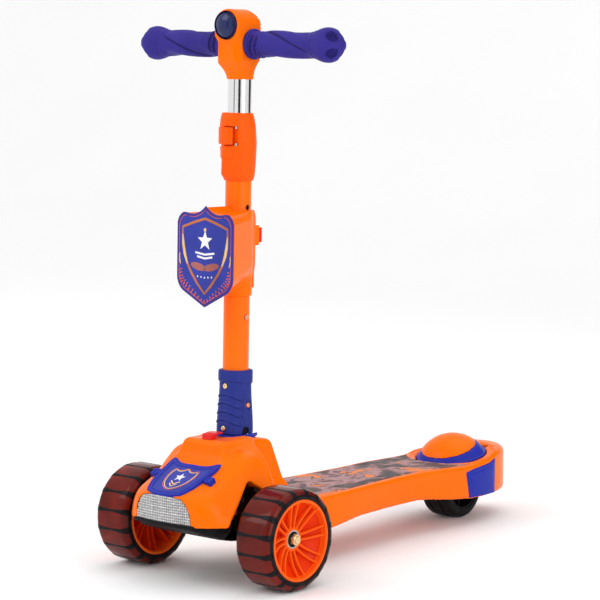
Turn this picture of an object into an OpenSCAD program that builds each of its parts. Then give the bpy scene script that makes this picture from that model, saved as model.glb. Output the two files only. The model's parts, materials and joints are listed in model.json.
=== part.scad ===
// Children's three-wheel kick scooter that steers by leaning.
// Front is -Y, the rider's left is +X, up is +Z. The origin is on the ground,
// under the middle of the scooter. Millimetres.

/* [Wheels] */
// Distance between the front and rear axles
wheelbase = 464; // [460:1:468]
// Diameter of the front wheels
front_wheel_d = 120; // [118:1:122]
// Width of the front wheels
front_wheel_w = 52; // [50:1:54]
// Distance from the centre line to the middle of a front wheel
front_half_track = 113; // [113:1:116]
// Diameter of the rear wheel
rear_wheel_d = 80; // [78:1:81]
// Width of the rear wheel
rear_wheel_w = 44; // [42:1:45]
// Diameter of the axles
axle_d = 8; // [7:0.5:8]

/* [Deck] */
// Height of the deck's standing surface, without the grip sheet
deck_top = 82.5; // [81:0.5:84]
// Widest half width of the deck's tail
tail_half_w = 60; // [59:0.5:62]
// How far the tail reaches behind the front axle
tail_end = 553.5; // [550:0.5:556]
// Wall thickness of the mouldings
wall = 3; // [2.5:0.5:3]

/* [Column] */
// Height of the fold pivot
pivot_z = 169; // [168:0.5:170]
// Distance of the fold pivot behind the front axle
column_y = 39; // [38:0.5:40]
// Backward rake of the column in degrees
rake = 1.55; // [1:0.05:2]
// Outer diameter of the orange lower tube
outer_tube_d = 31; // [30.5:0.5:31]
// Outer diameter of the chrome upper tube
inner_tube_d = 28; // [28:0.5:28]
// Height travel of the handlebar
height_travel = 130; // [120:5:130]

/* [Handlebar] */
// Overall width of the handlebar over the grips
bar_width = 311; // [305:1:320]
// Diameter of the handlebar tube
bar_tube_d = 22; // [20:1:22]
// Diameter of a grip
grip_d = 32; // [30:1:34]
// Diameter of the ball at the end of a grip
grip_ball_d = 40.6; // [38:0.2:42]

/* [Steering] */
// Distance from the centre line to a kingpin
kingpin_x = 58; // [57:0.5:58]
// Height of a kingpin's middle
kingpin_z = 80; // [79:0.5:81]
// Backward lean of the kingpins in degrees
kingpin_lean = 25; // [22:1:26]
// Distance from a kingpin to its tie rod pin
tie_arm = 30; // [28:1:32]

/* [Foot brake] */
// Radius of the dome's outer sphere
dome_r = 50; // [49:0.5:51]
// Tilt of the dome's base plane in degrees
dome_tilt = 10; // [8:1:11]

/* [Hidden] */
$fn = 48;
eps = 0.01;
run_gap = 0.05;
gap = 0.3;

rear_axle_y = wheelbase;
front_wheel_r = front_wheel_d / 2;
rear_wheel_r = rear_wheel_d / 2;
axle_r = axle_d / 2;
bearing_r = 11;
bearing_w = 7;

housing_z = 75;
tray_z = 46;
housing_top = 164;
nose_y = -89.5;
nose_r = 222;
bonnet_low = [-84, 110];
bonnet_high = [-22, 139.5];
bonnet_slope = atan2(bonnet_high[1] - bonnet_low[1], bonnet_high[0] - bonnet_low[0]);

sleeve_hx = 18;
sleeve_hy = 20.5;
sleeve_base = -3.4;
sleeve_top = 73;
slot_h = 13;
lug_hx = 9;
fold_clear_r = 24;
button_h = 136;
clamp_low = 297;
clamp_high = 377;
clamp_pin_at = [4, -20.2];
bar_h = 457.5;
head_low = 416;
head_high = 498;
head_hw = 19;
head_front_y = -26;
head_rear_y = 16;
horn_h = head_high - head_hw;

box_front_y = -54.5;
box_rear_y = 17;
plate_t = 2.5;
plate_tip_h = 150;

dome_at = [0, rear_axle_y - 1, 82];
dome_rise = 28;
band_h = 7;
brake_pin_at = [-49, -2.5];

// Points of a circular arc
function arc(c, r, a0, a1, n) =
    [for (i = [0:n]) c + r * [cos(a0 + (a1 - a0) * i / n), sin(a0 + (a1 - a0) * i / n)]];

// Smooth step from 0 to 1 while t goes from a to b
function ease(t, a, b) =
    let (u = min(1, max(0, (t - a) / (b - a)))) u * u * (3 - 2 * u);

// Half width of the deck at distance y behind the front axle
function deck_half_w(y) =
    y < 300 ? 62 - 8 * ease(y, 140, 300)
    : y < 440 ? 54 + (tail_half_w - 54) * ease(y, 310, 430)
    : tail_half_w * sqrt(max(0, 1 - pow((y - 440) / (tail_end - 440), 2)));

deck_from = 100;
deck_stations = concat([for (y = [deck_from:20:440]) y],
    [for (a = [6:7:90]) 440 + (tail_end - 440) * sin(a)]);

function deck_outline(inset) = concat(
    [for (y = deck_stations) let (w = deck_half_w(y) - inset)
        if (w > 3 && y < tail_end - inset - 1) [w, y]],
    [[0, tail_end - inset]],
    [for (i = [len(deck_stations) - 1:-1:0]) let (y = deck_stations[i], w = deck_half_w(y) - inset)
        if (w > 3 && y < tail_end - inset - 1) [-w, y]]);

// Outline of the stem shield, its tip at [0, 0]
shield_right = concat([[0, 119]], arc([22, 138.2], 29.2, 226, 288, 6), [[38, 109], [44.5, 99], [44.5, 36]],
    arc([22.7, 36], 21.8, 0, -56, 5));
shield_outline = concat(shield_right, [[0, 0]],
    [for (i = [len(shield_right) - 1:-1:1]) [-shield_right[i][0], shield_right[i][1]]]);

// ---------------------------------------------------------------- frames

// From distances behind the front axle to the scooter's own frame
module place() translate([0, -wheelbase / 2, 0]) children();

// Column frame: origin on the fold pivot, +Z up the raked column
module in_column() place() translate([0, column_y, pivot_z]) rotate([-rake, 0, 0]) children();

// Kingpin frame of one side: origin at the kingpin's middle, +Z up along it
module at_kingpin(side) place() translate([side * kingpin_x, 0, kingpin_z])
    rotate([-kingpin_lean, 0, 0]) children();

// Wheel frame: +Z of the child points away from the scooter's middle
module at_front_wheel(side) place() translate([side * front_half_track, 0, front_wheel_r])
    rotate([0, side * 90, 0]) children();

module at_rear_wheel() place() translate([0, rear_axle_y, rear_wheel_r]) rotate([0, 90, 0]) children();

// Dome frame: origin in the middle of the tilted base plane
module at_dome() place() translate(dome_at) rotate([dome_tilt, 0, 0]) children();

// ---------------------------------------------------------------- helpers

module x_cylinder(r, x0, x1) translate([x0, 0, 0]) rotate([0, 90, 0]) cylinder(r = r, h = x1 - x0);

module y_cylinder(r, y0, y1) translate([0, y0, 0]) rotate([-90, 0, 0]) cylinder(r = r, h = y1 - y0);

module block(lo, hi) translate(lo) cube(hi - lo);

// Extrudes an outline drawn in Y and Z along X, from x0 to x1
module along_x(x0, x1) translate([x0, 0, 0]) rotate([90, 0, 90]) linear_extrude(x1 - x0) children();

// Extrudes an outline drawn in X and Z along Y, from y0 to y1
module along_y(y0, y1) translate([0, y1, 0]) rotate([90, 0, 0]) linear_extrude(y1 - y0) children();

// Rectangle with round corners
module rounded(hx, hy, r) {
    square([2 * hx, 2 * (hy - r)], center = true);
    square([2 * (hx - r), 2 * hy], center = true);
    for (sx = [-1, 1], sy = [-1, 1])
        translate([sx * (hx - r), sy * (hy - r)]) circle(r = r);
}

module ring(r_out, r_in, h0, h1) translate([0, 0, h0]) difference() {
    cylinder(r = r_out, h = h1 - h0);
    translate([0, 0, -1]) cylinder(r = r_in, h = h1 - h0 + 2);
}

// Pan head screw, its head on the plane z = 0 and its shank below
module screw(r, length) {
    cylinder(r = r * 1.9, h = r * 1.1);
    translate([0, 0, -length]) cylinder(r = r, h = length);
}

// ---------------------------------------------------------------- deck

deck_low = 34;
rib_ys = [160, 220, 280, 340, 396];
fork_x = 25;
fork_t = 4;
well_from = 416;
well_to = 512;

// Height of the deck's top along its length, as [distance behind the front axle, height]
deck_top_line = [[deck_from, deck_top], [340, deck_top], [420, deck_top - 3.5], [440, deck_top - 3],
    [470, deck_top + 1], [515, deck_top + 8.5], [540, deck_top + 9.5], [552, deck_top + 8],
    [560, deck_top + 5]];

module deck_body() intersection() {
    linear_extrude(deck_top + 20) polygon(deck_outline(0));
    along_x(-70, 70) polygon(concat([
        [560, deck_low - 3], [530, deck_low - 3], [490, deck_low - 1], [430, deck_low], [385, deck_low + 5],
        [330, deck_low + 12.5], [205, deck_low + 12], [150, deck_low + 6], [deck_from, deck_low + 6]],
        deck_top_line));
}

// Hollow under the deck, between its ribs and fork walls
module deck_pockets() difference() {
    intersection() {
        translate([0, 0, -1]) linear_extrude(deck_top + 20) polygon(deck_outline(4));
        along_x(-70, 70) translate([0, -4.5]) polygon(concat([[560, 0], [deck_from, 0]], deck_top_line));
    }
    block([-70, 0, -5], [70, deck_from + 4, 90]);
    for (y = rib_ys) block([-70, y - 1.5, 0], [70, y + 1.5, 90]);
    block([-1.5, deck_from, 0], [1.5, well_from, 90]);
    for (s = [-1, 1]) translate([s * (fork_x + fork_t / 2), 0, 0])
        block([-fork_t / 2, well_from - 4, 0], [fork_t / 2, well_to + 4, 90]);
    for (y = [well_from - 4, well_to]) block([-fork_x, y, 0], [fork_x, y + 4, 90]);
    block([-15, 408, 64], [15, 424, 90]);
    translate([0, dome_at[1], 66]) cylinder(r = 53, h = 40);
}

module deck_shell() color("darkorange") difference() {
    union() {
        place() difference() {
            deck_body();
            deck_pockets();
            translate([0, dome_at[1], 62]) cylinder(r = 46.5, h = 40);
            block([-fork_x, well_from, -1], [fork_x, well_to, 100]);
            block([-11, 404, 60], [11, 426, deck_top - 7]);
            panel_inlay();
        }
        at_rear_wheel() for (s = [-1, 1]) translate([0, 0, s * 21.3])
            cylinder(r = 9, h = 8, center = true);
    }
    at_rear_wheel() cylinder(r = axle_r, h = 80, center = true);
    at_dome() {
        translate([0, 0, -4]) cylinder(r1 = 39.5, r2 = 62, h = 11.5);
        translate([0, brake_pin_at[0], brake_pin_at[1]]) x_cylinder(1.5, -14.5, 14.5);
    }
}

// The strips of the tail's sides that the blue panels fill
module panel_inlay() difference() {
    intersection() {
        block([-70, 421, 36], [70, 487, 72]);
        linear_extrude(90) polygon(deck_outline(0));
    }
    linear_extrude(90) polygon(deck_outline(2));
}

module tail_panels() color("mediumblue") place() panel_inlay();

sheet_t = 1;
module grip_sheet() color("dimgray") place() intersection() {
    linear_extrude(deck_top + 20) polygon(deck_outline(8));
    along_x(-70, 70) polygon([[112, deck_top], [340, deck_top], [404, deck_top - 2.8],
        [404, deck_top - 2.8 + sheet_t], [340, deck_top + sheet_t], [112, deck_top + sheet_t]]);
}

// ---------------------------------------------------------------- front housing

module ball(p, r) translate(p) sphere(r = r, $fn = 24);

// Solid form of the housing, shrunk inwards by t
module housing_solid(t) {
    hull() for (s = [-1, 1]) {
        ball([s * 34, -77, 103], 8 - t);
        ball([s * 54, -60, 112], 10 - t);
        ball([s * 56, -22, 132], 10 - t);
        ball([s * 44, -77, 66], 8 - t);
        ball([s * 72, -54, 66], 8 - t);
        ball([0, -81, 66], 8 - t);
        ball([s * 56, 30, 66], 8 - t);
    }
    hull() for (s = [-1, 1]) {
        ball([s * 28, -10, 154], 10 - t);
        ball([s * 30, 68, 150], 12 - t);
        ball([s * 40, -8, 120], 12 - t);
        ball([s * 46, 92, 66], 12 - t);
        ball([s * 44, 88, 100], 12 - t);
        ball([s * 56, 0, 66], 12 - t);
    }
    for (s = [-1, 1]) hull() {
        ball([s * 44, 5, 131], 22 - t);
        ball([s * 50, -30, 118], 16 - t);
        ball([s * 50, 34, 118], 18 - t);
        ball([s * 72, -54, 66], 8 - t);
        ball([s * 72, 54, 66], 8 - t);
        ball([s * 30, 0, 80], 8 - t);
    }
}

module arch_outline(grow) polygon(concat([[-61 - grow, housing_z - 1]],
    arc([0, 112 + grow], 12, 140, 40, 6), [[61 + grow, housing_z - 1]]));

module lens_outline(grow) {
    polygon(concat([[-42 - grow, 77 - grow], [42 + grow, 77 - grow]],
        arc([0, 60], 56 + grow, 62, 118, 8)));
}

// Space that the sleeve turns through as the column folds back
module fold_channel(hx) {
    intersection() {
        translate([0, column_y, pivot_z]) x_cylinder(fold_clear_r, -hx, hx);
        block([-hx, column_y - 4.6, 0], [hx, column_y + 40, 250]);
    }
    block([-hx, column_y, pivot_z - fold_clear_r], [hx, 130, 250]);
}

// Everything above the bonnet's plane, moved along the plane's normal by up
module above_bonnet(up) translate([0, bonnet_low[0], bonnet_low[1]]) rotate([bonnet_slope, 0, 0])
    block([-90, -30, up], [90, 66, 60]);

module housing_cavity() difference() {
    housing_solid(wall);
    block([-100, -120, housing_top - wall], [100, 130, 200]);
    block([-sleeve_hx - 4.2, column_y - 8, pivot_z - fold_clear_r - wall], [sleeve_hx + 4.2, 130, 200]);
    above_bonnet(-wall - 1);
}

module front_housing() color("darkorange") place() difference() {
    housing_solid(0);
    housing_cavity();
    block([-100, -120, 0], [100, 130, housing_z]);
    block([-100, -120, housing_top], [100, 130, 200]);
    block([-100, deck_from, 0], [100, 140, 100]);
    above_bonnet(0);
    for (s = [-1, 1]) along_x(s > 0 ? 34 : -100, s > 0 ? 100 : -34) arch_outline(0);
    along_y(-100, -76) lens_outline(0);
    block([-46, -100, housing_z - 1], [46, -81.5, housing_z + 2.05]);
    fold_channel(sleeve_hx + 1.2);
    block([-lug_hx - 0.5, column_y - 14, 100], [lug_hx + 0.5, column_y + 14, 200]);
    translate([0, column_y, housing_top - 2]) cylinder(r = 26.1, h = 10);
    block([-9.5, -14, 130], [9.5, 0.5, 200]);
    shield_on_bonnet();
    strip_band();
}

tray_screw_r = 2;

// The screws that go up through the tray into the bridge's posts and the fold bracket
module at_tray_screws() place() for (p = [[38, 12], [10, 50]], s = [-1, 1])
    translate([s * p[0], p[1], tray_z]) children();

module tray_screw_holes() at_tray_screws() translate([0, 0, -1]) cylinder(r = tray_screw_r, h = 14);

module tray_block(inset, z_low) intersection() {
    translate([0, 0, z_low]) linear_extrude(housing_z - z_low) polygon([
        [-40 + inset, nose_y + 6 + inset], [40 - inset, nose_y + 6 + inset], [62 - inset, -60],
        [66 - inset, -30], [66 - inset, 34], [54 - inset, 60], [50 - inset, deck_from - inset],
        [-50 + inset, deck_from - inset], [-54 + inset, 60], [-66 + inset, 34],
        [-66 + inset, -30], [-62 + inset, -60]]);
    along_x(-70, 70) polygon([
        [nose_y + 5, 76], [nose_y + 9 + inset, 62 + inset], [-60, 51 + inset], [-30, tray_z + inset],
        [62, tray_z + inset], [102, tray_z + 2 + inset], [102, 76]]);
}

module base_tray() color("black") {
    difference() {
        union() {
            place() difference() {
                tray_block(0, tray_z - 1);
                tray_block(wall, tray_z - 1);
                for (s = [-1, 1]) block([s * 70 - 30, -36, tray_z + wall], [s * 70 + 30, 36, 90]);
            }
            for (s = [-1, 1]) intersection() {
                at_kingpin(s) translate([0, 0, -40]) cylinder(r = 8.5, h = 17);
                place() block([-70, -60, tray_z + wall - eps], [70, 60, 100]);
            }
        }
        for (s = [-1, 1]) at_kingpin(s) translate([0, 0, -32]) cylinder(r = 5, h = 20);
        place() strip_band();
        tray_screw_holes();
    }
}

module strip_band() intersection() {
    translate([0, nose_y + nose_r, housing_z - 2]) ring(nose_r, nose_r - 4, 0, 4);
    block([-48, nose_y - 1, 60], [48, -70, 90]);
}

module bumper_strip() color("black") place() strip_band();

module headlight_lens() color("silver") place() intersection() {
    translate([0, nose_y + 1 + nose_r, 0]) ring(nose_r, nose_r - 3, 70, 120);
    along_y(-100, -70) lens_outline(-0.2);
    block([-60, -100, housing_z + 2.05], [60, -70, 120]);
}

module headlight_board() color("green") place() {
    block([-24, -78, 80], [24, -76.4, 100]);
    for (x = [-16, 0, 16]) translate([x, 0, 90]) y_cylinder(2.5, -82, -78);
}

bonnet_right = concat([[0, 56]], arc([14, 70], 19, 232, 294, 5), [[30, 62], [36, 62], [34, 34], [30, 12]],
    [[22, 1]]);

module shield_on_bonnet() translate([0, bonnet_low[0], bonnet_low[1]]) rotate([bonnet_slope, 0, 0])
    translate([0, 0, -1]) {
        linear_extrude(3) polygon(concat(bonnet_right,
            [for (i = [len(bonnet_right) - 1:-1:1]) [-bonnet_right[i][0], bonnet_right[i][1]]]));
        for (s = [-1, 1]) translate([s * 41, 40, 1.75]) cube([7, 10, 3.5], center = true);
    }

module bonnet_shield() color("mediumblue") place() shield_on_bonnet();

module column_flange() color("mediumblue") place() difference() {
    translate([0, column_y, housing_top - 2]) cylinder(r = 26, h = 3);
    fold_channel(sleeve_hx + 1.2);
    block([-lug_hx - 0.5, column_y - 14, 100], [lug_hx + 0.5, column_y + 14, 200]);
}

// ---------------------------------------------------------------- fold and steering frame

module fold_bracket() color("silver") difference() {
    place() difference() {
        union() {
            block([-lug_hx, column_y - 10, 120], [lug_hx, column_y + 10, pivot_z]);
            translate([0, column_y, pivot_z]) x_cylinder(11, -lug_hx, lug_hx);
            block([-16, column_y - 12, tray_z + wall], [16, column_y + 20, 130]);
        }
        translate([0, column_y, pivot_z]) x_cylinder(4, -20, 20);
    }
    tray_screw_holes();
}

module fold_pivot_bolt() color("black") place() translate([0, column_y, pivot_z]) {
    x_cylinder(4, -13, 13);
    x_cylinder(5.2, 13, 15.2);
    x_cylinder(5.2, -15.2, -13);
}

module steering_bridge() color("dimgray") difference() {
    union() {
        translate([0, -wheelbase / 2, kingpin_z]) rotate([-kingpin_lean, 0, 0])
            block([-68, -11, 20.6], [68, 13, 27]);
        place() for (s = [-1, 1]) block([s * 38 - 4, 6, tray_z + wall], [s * 38 + 4, 18, 98]);
    }
    for (s = [-1, 1]) at_kingpin(s) cylinder(r = 5, h = 40);
    tray_screw_holes();
}

module kingpins() color("silver") for (s = [-1, 1]) at_kingpin(s) {
    translate([0, 0, -32]) cylinder(r = 5, h = 59);
    translate([0, 0, 27]) cylinder(r = 8, h = 4);
}

module steer_bushings() color("black") for (s = [-1, 1]) at_kingpin(s) ring(9.5, 5, -22.8, -17.4);

module knuckle(side) difference() {
    union() {
        at_kingpin(side) {
            translate([0, 0, -16.8]) cylinder(r = 10.5, h = 37);
            mirror([side > 0 ? 0 : 1, 0, 0]) block([0, -8, -12], [14, 8, 16]);
            block([-5, -tie_arm, 2], [5, 0, 9]);
            translate([0, -tie_arm, 2]) cylinder(r = 6.5, h = 7);
            translate([0, -tie_arm, 8]) cylinder(r = 3, h = 9);
        }
        place() mirror([side > 0 ? 0 : 1, 0, 0]) {
            block([kingpin_x + 11, -10, front_wheel_r - 9], [kingpin_x + 19, 10, 96]);
            translate([0, 0, front_wheel_r]) x_cylinder(9, kingpin_x + 11, front_half_track - 17);
        }
    }
    at_kingpin(side) translate([0, 0, -30]) cylinder(r = 5 + run_gap, h = 60);
    at_front_wheel(side) translate([0, 0, 13 + kingpin_x - front_half_track]) cylinder(r = axle_r, h = 90);
}

module knuckle_left() color("black") knuckle(1);
module knuckle_right() color("black") knuckle(-1);

module tie_rod() color("silver") difference() {
    union() {
        for (s = [-1, 1]) at_kingpin(s) translate([0, -tie_arm, 9.6]) cylinder(r = 6.5, h = 5);
        translate([0, -wheelbase / 2, kingpin_z]) rotate([-kingpin_lean, 0, 0])
            block([-kingpin_x, -tie_arm - 4, 9.6], [kingpin_x, -tie_arm + 4, 14.6]);
    }
    for (s = [-1, 1]) at_kingpin(s) translate([0, -tie_arm, 0]) cylinder(r = 3 + run_gap, h = 30);
}

// ---------------------------------------------------------------- wheels

hub_in = 16;
hub_out = 14;
module stub_axle(side) at_front_wheel(side) {
    from = 13 + kingpin_x - front_half_track;
    translate([0, 0, from]) cylinder(r = axle_r, h = 20.5 - from);
    difference() {
        translate([0, 0, hub_out + gap]) cylinder(r = 7, h = 4.5, $fn = 6);
        cylinder(r = axle_r, h = 40);
    }
}
module stub_axle_left() color("gold") stub_axle(1);
module stub_axle_right() color("gold") stub_axle(-1);

// Tyre section: radius r_in to r_out over the width w, with round shoulders
module tyre(r_out, r_in, w, shoulder) rotate_extrude($fn = 96) polygon(concat(
    [[r_in, -w / 2]], arc([r_out - shoulder, -w / 2 + shoulder], shoulder, -90, 0, 6),
    arc([r_out - shoulder, w / 2 - shoulder], shoulder, 0, 90, 6), [[r_in, w / 2]]));

module rim(r_out, barrel, w, low, high, ribs) {
    difference() {
        union() {
            ring(r_out, r_out - barrel, -w / 2, w / 2);
            translate([0, 0, low]) cylinder(r = 15, h = high - low);
            translate([0, 0, -2]) cylinder(r = r_out - 1, h = 4);
            for (i = [0:ribs - 1]) rotate(i * 360 / ribs)
                block([12, -1.5, low + 3], [r_out - 1, 1.5, high - 3]);
        }
        translate([0, 0, low - 1]) cylinder(r = 8, h = high - low + 2);
        translate([0, 0, low - 1]) cylinder(r = bearing_r, h = bearing_w + 1.5);
        translate([0, 0, high - bearing_w - 0.5]) cylinder(r = bearing_r, h = bearing_w + 2);
    }
}

module bearings(low, high) {
    r_in = axle_r + run_gap;
    ring(bearing_r, r_in, low + 0.5, low + 0.5 + bearing_w);
    ring(bearing_r, r_in, high - 0.5 - bearing_w, high - 0.5);
    ring(6, r_in, low + 0.5 + bearing_w, high - 0.5 - bearing_w);
}

front_rim_r = 48;
module tyre_left() color("maroon") at_front_wheel(1) tyre(front_wheel_r, front_rim_r, front_wheel_w, 9);
module tyre_right() color("maroon") at_front_wheel(-1) tyre(front_wheel_r, front_rim_r, front_wheel_w, 9);
module rim_left() color("orangered") at_front_wheel(1) rim(front_rim_r, 3, front_wheel_w, -hub_in, hub_out, 16);
module rim_right() color("orangered") at_front_wheel(-1) rim(front_rim_r, 3, front_wheel_w, -hub_in, hub_out, 16);
module bearings_left() color("silver") at_front_wheel(1) bearings(-hub_in, hub_out);
module bearings_right() color("silver") at_front_wheel(-1) bearings(-hub_in, hub_out);

rear_hub = 16;
module rear_tyre() color("black") at_rear_wheel() tyre(rear_wheel_r, 29, rear_wheel_w, 7);
module rear_rim() color("black") at_rear_wheel() rim(29, 3, rear_wheel_w - 2, -rear_hub, rear_hub, 5);
module rear_bearings() color("silver") at_rear_wheel() bearings(-rear_hub, rear_hub);

module rear_axle_bolt() color("silver") at_rear_wheel() {
    translate([0, 0, -fork_x - fork_t - 3]) cylinder(r = axle_r, h = 2 * (fork_x + fork_t) + 6);
    for (s = [-1, 1]) translate([0, 0, s * (fork_x + fork_t + 2.5)]) difference() {
        cylinder(r = 7, h = 5, center = true, $fn = 6);
        cylinder(r = axle_r, h = 20, center = true);
    }
}

// ---------------------------------------------------------------- foot brake

module dome_slice(z0, z1) intersection() {
    difference() {
        translate([0, 0, dome_rise - dome_r]) sphere(r = dome_r, $fn = 96);
        translate([0, 0, dome_rise - dome_r]) sphere(r = dome_r - 2.6, $fn = 96);
    }
    translate([0, 0, z0]) cylinder(r = 60, h = z1 - z0);
}

module brake_dome() color("darkorange") at_dome() dome_slice(band_h, 40);

module brake_band() color("mediumblue") at_dome() difference() {
    union() {
        dome_slice(-1, band_h);
        for (s = [-1, 1]) block([s * 8 - 2.5, brake_pin_at[0], -5], [s * 8 + 2.5, -41.6, 0.6]);
        translate([0, brake_pin_at[0], brake_pin_at[1]]) {
            x_cylinder(3.5, 5.5, 10.5);
            x_cylinder(3.5, -10.5, -5.5);
        }
    }
    translate([0, brake_pin_at[0], brake_pin_at[1]]) x_cylinder(1.5 + run_gap, -20, 20);
    translate([0, 0, dome_rise - dome_r]) sphere(r = dome_r - 2.6, $fn = 96);
}

module brake_pivot_pin() color("silver") at_dome() translate([0, brake_pin_at[0], brake_pin_at[1]])
    x_cylinder(1.5, -14.5, 14.5);

module brake_spring() color("silver") at_dome() translate([0, brake_pin_at[0], brake_pin_at[1]]) {
    for (x = [-3.4, -1.8, -0.2, 1.4]) rotate([0, 90, 0]) translate([0, 0, x]) ring(2.9, 1.8, 0, 1.2);
}

module brake_shoe() color("black") {
    place() translate([0, rear_axle_y, rear_wheel_r]) intersection() {
        rotate([0, 90, 0]) ring(rear_wheel_r + 8, rear_wheel_r + 4.5, -16, 16);
        block([-20, -18, 20], [20, 18, 60]);
    }
    at_dome() block([-3, -3, 4], [3, 3, dome_rise - 2.8]);
}

// ---------------------------------------------------------------- column

module fold_sleeve() color("mediumblue") in_column() difference() {
    union() {
        translate([0, 0, sleeve_base]) linear_extrude(60 - sleeve_base) rounded(sleeve_hx, sleeve_hy, 10);
        translate([0, 0, 60]) linear_extrude(sleeve_top - 60) rounded(sleeve_hx + 0.8, sleeve_hy + 0.8, 12);
    }
    translate([0, 0, slot_h + 5]) cylinder(r = outer_tube_d / 2, h = 80);
    block([-lug_hx - 0.4, -12.5, -10], [lug_hx + 0.4, 30, slot_h]);
    x_cylinder(4 + run_gap, -30, 30);
    x_cylinder(5.7, 12.6, 30);
    x_cylinder(5.7, -30, -12.6);
    sleeve_screw_holes();
}

module sleeve_screw_holes() {
    for (h = [5, 56]) translate([0, 0, h]) y_cylinder(3.2, -30, h < 10 ? -13.4 : -outer_tube_d / 2 - 0.1);
    translate([0, 5, 31]) x_cylinder(2.8, outer_tube_d / 2, 30);
}

module sleeve_screws() color("gold") in_column() {
    for (h = [5, 56]) translate([0, 0, h]) y_cylinder(3.2, -sleeve_hy + 1, h < 10 ? -13.4 : -outer_tube_d / 2 - 0.1);
    translate([0, 5, 31]) x_cylinder(2.8, outer_tube_d / 2, sleeve_hx - 0.5);
}

module outer_tube() color("darkorange") in_column() difference() {
    ring(outer_tube_d / 2, inner_tube_d / 2 + 0.1, slot_h + 5, 331);
    for (h = [button_h, button_h + height_travel]) translate([0, 0, h]) x_cylinder(3.5, 0, 30);
}

module clamp_collar() color("orangered") in_column() difference() {
    rotate_extrude($fn = 64) polygon([
        [outer_tube_d / 2, clamp_low], [17.6, clamp_low], [19.6, clamp_low + 6], [21.2, clamp_low + 24],
        [22, clamp_low + 46], [21.4, clamp_low + 60], [19.6, clamp_high - 4], [18.6, clamp_high],
        [inner_tube_d / 2 + gap, clamp_high], [inner_tube_d / 2 + gap, 331], [outer_tube_d / 2, 331]]);
    block([-3.5, -30, 339], [9, -16.2, 361]);
    translate([clamp_pin_at[0], clamp_pin_at[1], 335]) cylinder(r = 1.6, h = 30);
}

module clamp_pin() color("silver") in_column()
    translate([clamp_pin_at[0], clamp_pin_at[1], 335]) cylinder(r = 1.6, h = 30);

module clamp_lever() color("orangered") in_column() difference() {
    union() {
        intersection() {
            ring(25.6, 22.4, 340, 360);
            translate([0, 0, 330]) linear_extrude(40) polygon([[0, 0], [2, -60], [-60, -60], [-60, 6]]);
        }
        translate([clamp_pin_at[0], clamp_pin_at[1], 340]) cylinder(r = 3.4, h = 20);
        block([-1, -25.4, 340], [5.5, -20.5, 360]);
    }
    translate([clamp_pin_at[0], clamp_pin_at[1], 335]) cylinder(r = 1.6 + run_gap, h = 30);
}

module shield_2d(inset) translate([0, plate_tip_h]) polygon([for (p = shield_outline)
    [p[0] * (1 - inset / 44.5), 60 + (p[1] - 60) * (1 - inset / 60)]]);

module box_solid(inset) hull() {
    along_y(box_front_y + inset, box_front_y + inset + 1) shield_2d(inset);
    along_y(box_rear_y - inset - 1, box_rear_y - inset) translate([0, 211])
        square([2 * (19 - inset), 2 * (49 - inset)], center = true);
}

module shield_box() color("darkorange") in_column() difference() {
    box_solid(0);
    box_solid(2.4);
    translate([0, 0, 100]) cylinder(r = outer_tube_d / 2, h = 200);
    cover_seat();
    for (h = [175, 250]) translate([0, 0, h]) y_cylinder(1.6, 0, 40);
}

module cover_seat() block([-15, box_rear_y - 2.5, 170], [15, box_rear_y + 1, 255]);

module shield_plate() color("navy") in_column() along_y(box_front_y - plate_t, box_front_y) shield_2d(0);

module box_cover() color("darkorange") in_column() difference() {
    union() {
        intersection() {
            cover_seat();
            block([-30, 0, 100], [30, box_rear_y, 300]);
        }
        block([-12, box_rear_y - 0.5, 220], [12, box_rear_y + 15, 244]);
    }
    translate([0, 0, 100]) cylinder(r = outer_tube_d / 2, h = 200);
    block([-9.5, box_rear_y + 1, 222.5], [9.5, 40, 241.5]);
    for (h = [175, 250]) translate([0, 0, h]) y_cylinder(1.6, 0, 40);
}

module box_screws() color("silver") in_column() for (h = [175, 250]) translate([0, 0, h]) {
    y_cylinder(1.6, outer_tube_d / 2 + 0.2, box_rear_y);
    y_cylinder(3, box_rear_y, box_rear_y + 1.6);
}

module speaker() color("black") in_column() translate([0, 0, 228]) {
    y_cylinder(20, -50, -44);
    y_cylinder(11, -44, -34);
}

module sound_board() color("green") in_column() {
    block([-24, -46, 178], [24, -44.4, 202]);
    block([-8, -44.4, 184], [8, -42, 196]);
}

module battery_cells() color("gray") in_column() for (i = [0:2])
    translate([0, -24 - 5.5, 176 + 11 * i]) x_cylinder(5.2, -22, 22);

// ---------------------------------------------------------------- handlebar

module inner_tube() color("silver") in_column() difference() {
    ring(inner_tube_d / 2, inner_tube_d / 2 - 1.2, 105, bar_h - bar_tube_d / 2 - 1);
    translate([0, 0, button_h]) x_cylinder(3.1, 0, 30);
}

module height_button() color("silver") in_column() {
    translate([0, 0, button_h]) x_cylinder(3.1, 9.4, outer_tube_d / 2 + 1);
    translate([0, 4, 0]) rotate([90, 0, 0]) linear_extrude(8) difference() {
        union() {
            translate([0, 116]) circle(r = 9.4);
            translate([-9.4, 116]) square([18.8, 26]);
        }
        translate([0, 116]) circle(r = 8.6);
        translate([-8.6, 116]) square([17.2, 40]);
    }
}

module handlebar_tube() color("silver") in_column() translate([0, 0, bar_h]) rotate([0, 90, 0])
    ring(bar_tube_d / 2, bar_tube_d / 2 - 1.5, -128, 128);

// Head block, its walls moved inwards by t
module head_solid(t) intersection() {
    along_y(head_front_y + t, head_rear_y - t) polygon(concat(
        [[head_hw - t, 437], [14 - t, head_low + 7 + t], [-14 + t, head_low + 7 + t], [-head_hw + t, 437]],
        arc([0, horn_h], head_hw - t, 180, 0, 16)));
    along_x(-30, 30) polygon([
        [head_front_y + t, 438], [head_front_y + t, head_high], [head_rear_y - 8, head_high],
        [head_rear_y - t, head_high - 12], [head_rear_y - t, 440], [11, head_low + 6 + t],
        [-13, head_low + 6 + t]]);
}

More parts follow.
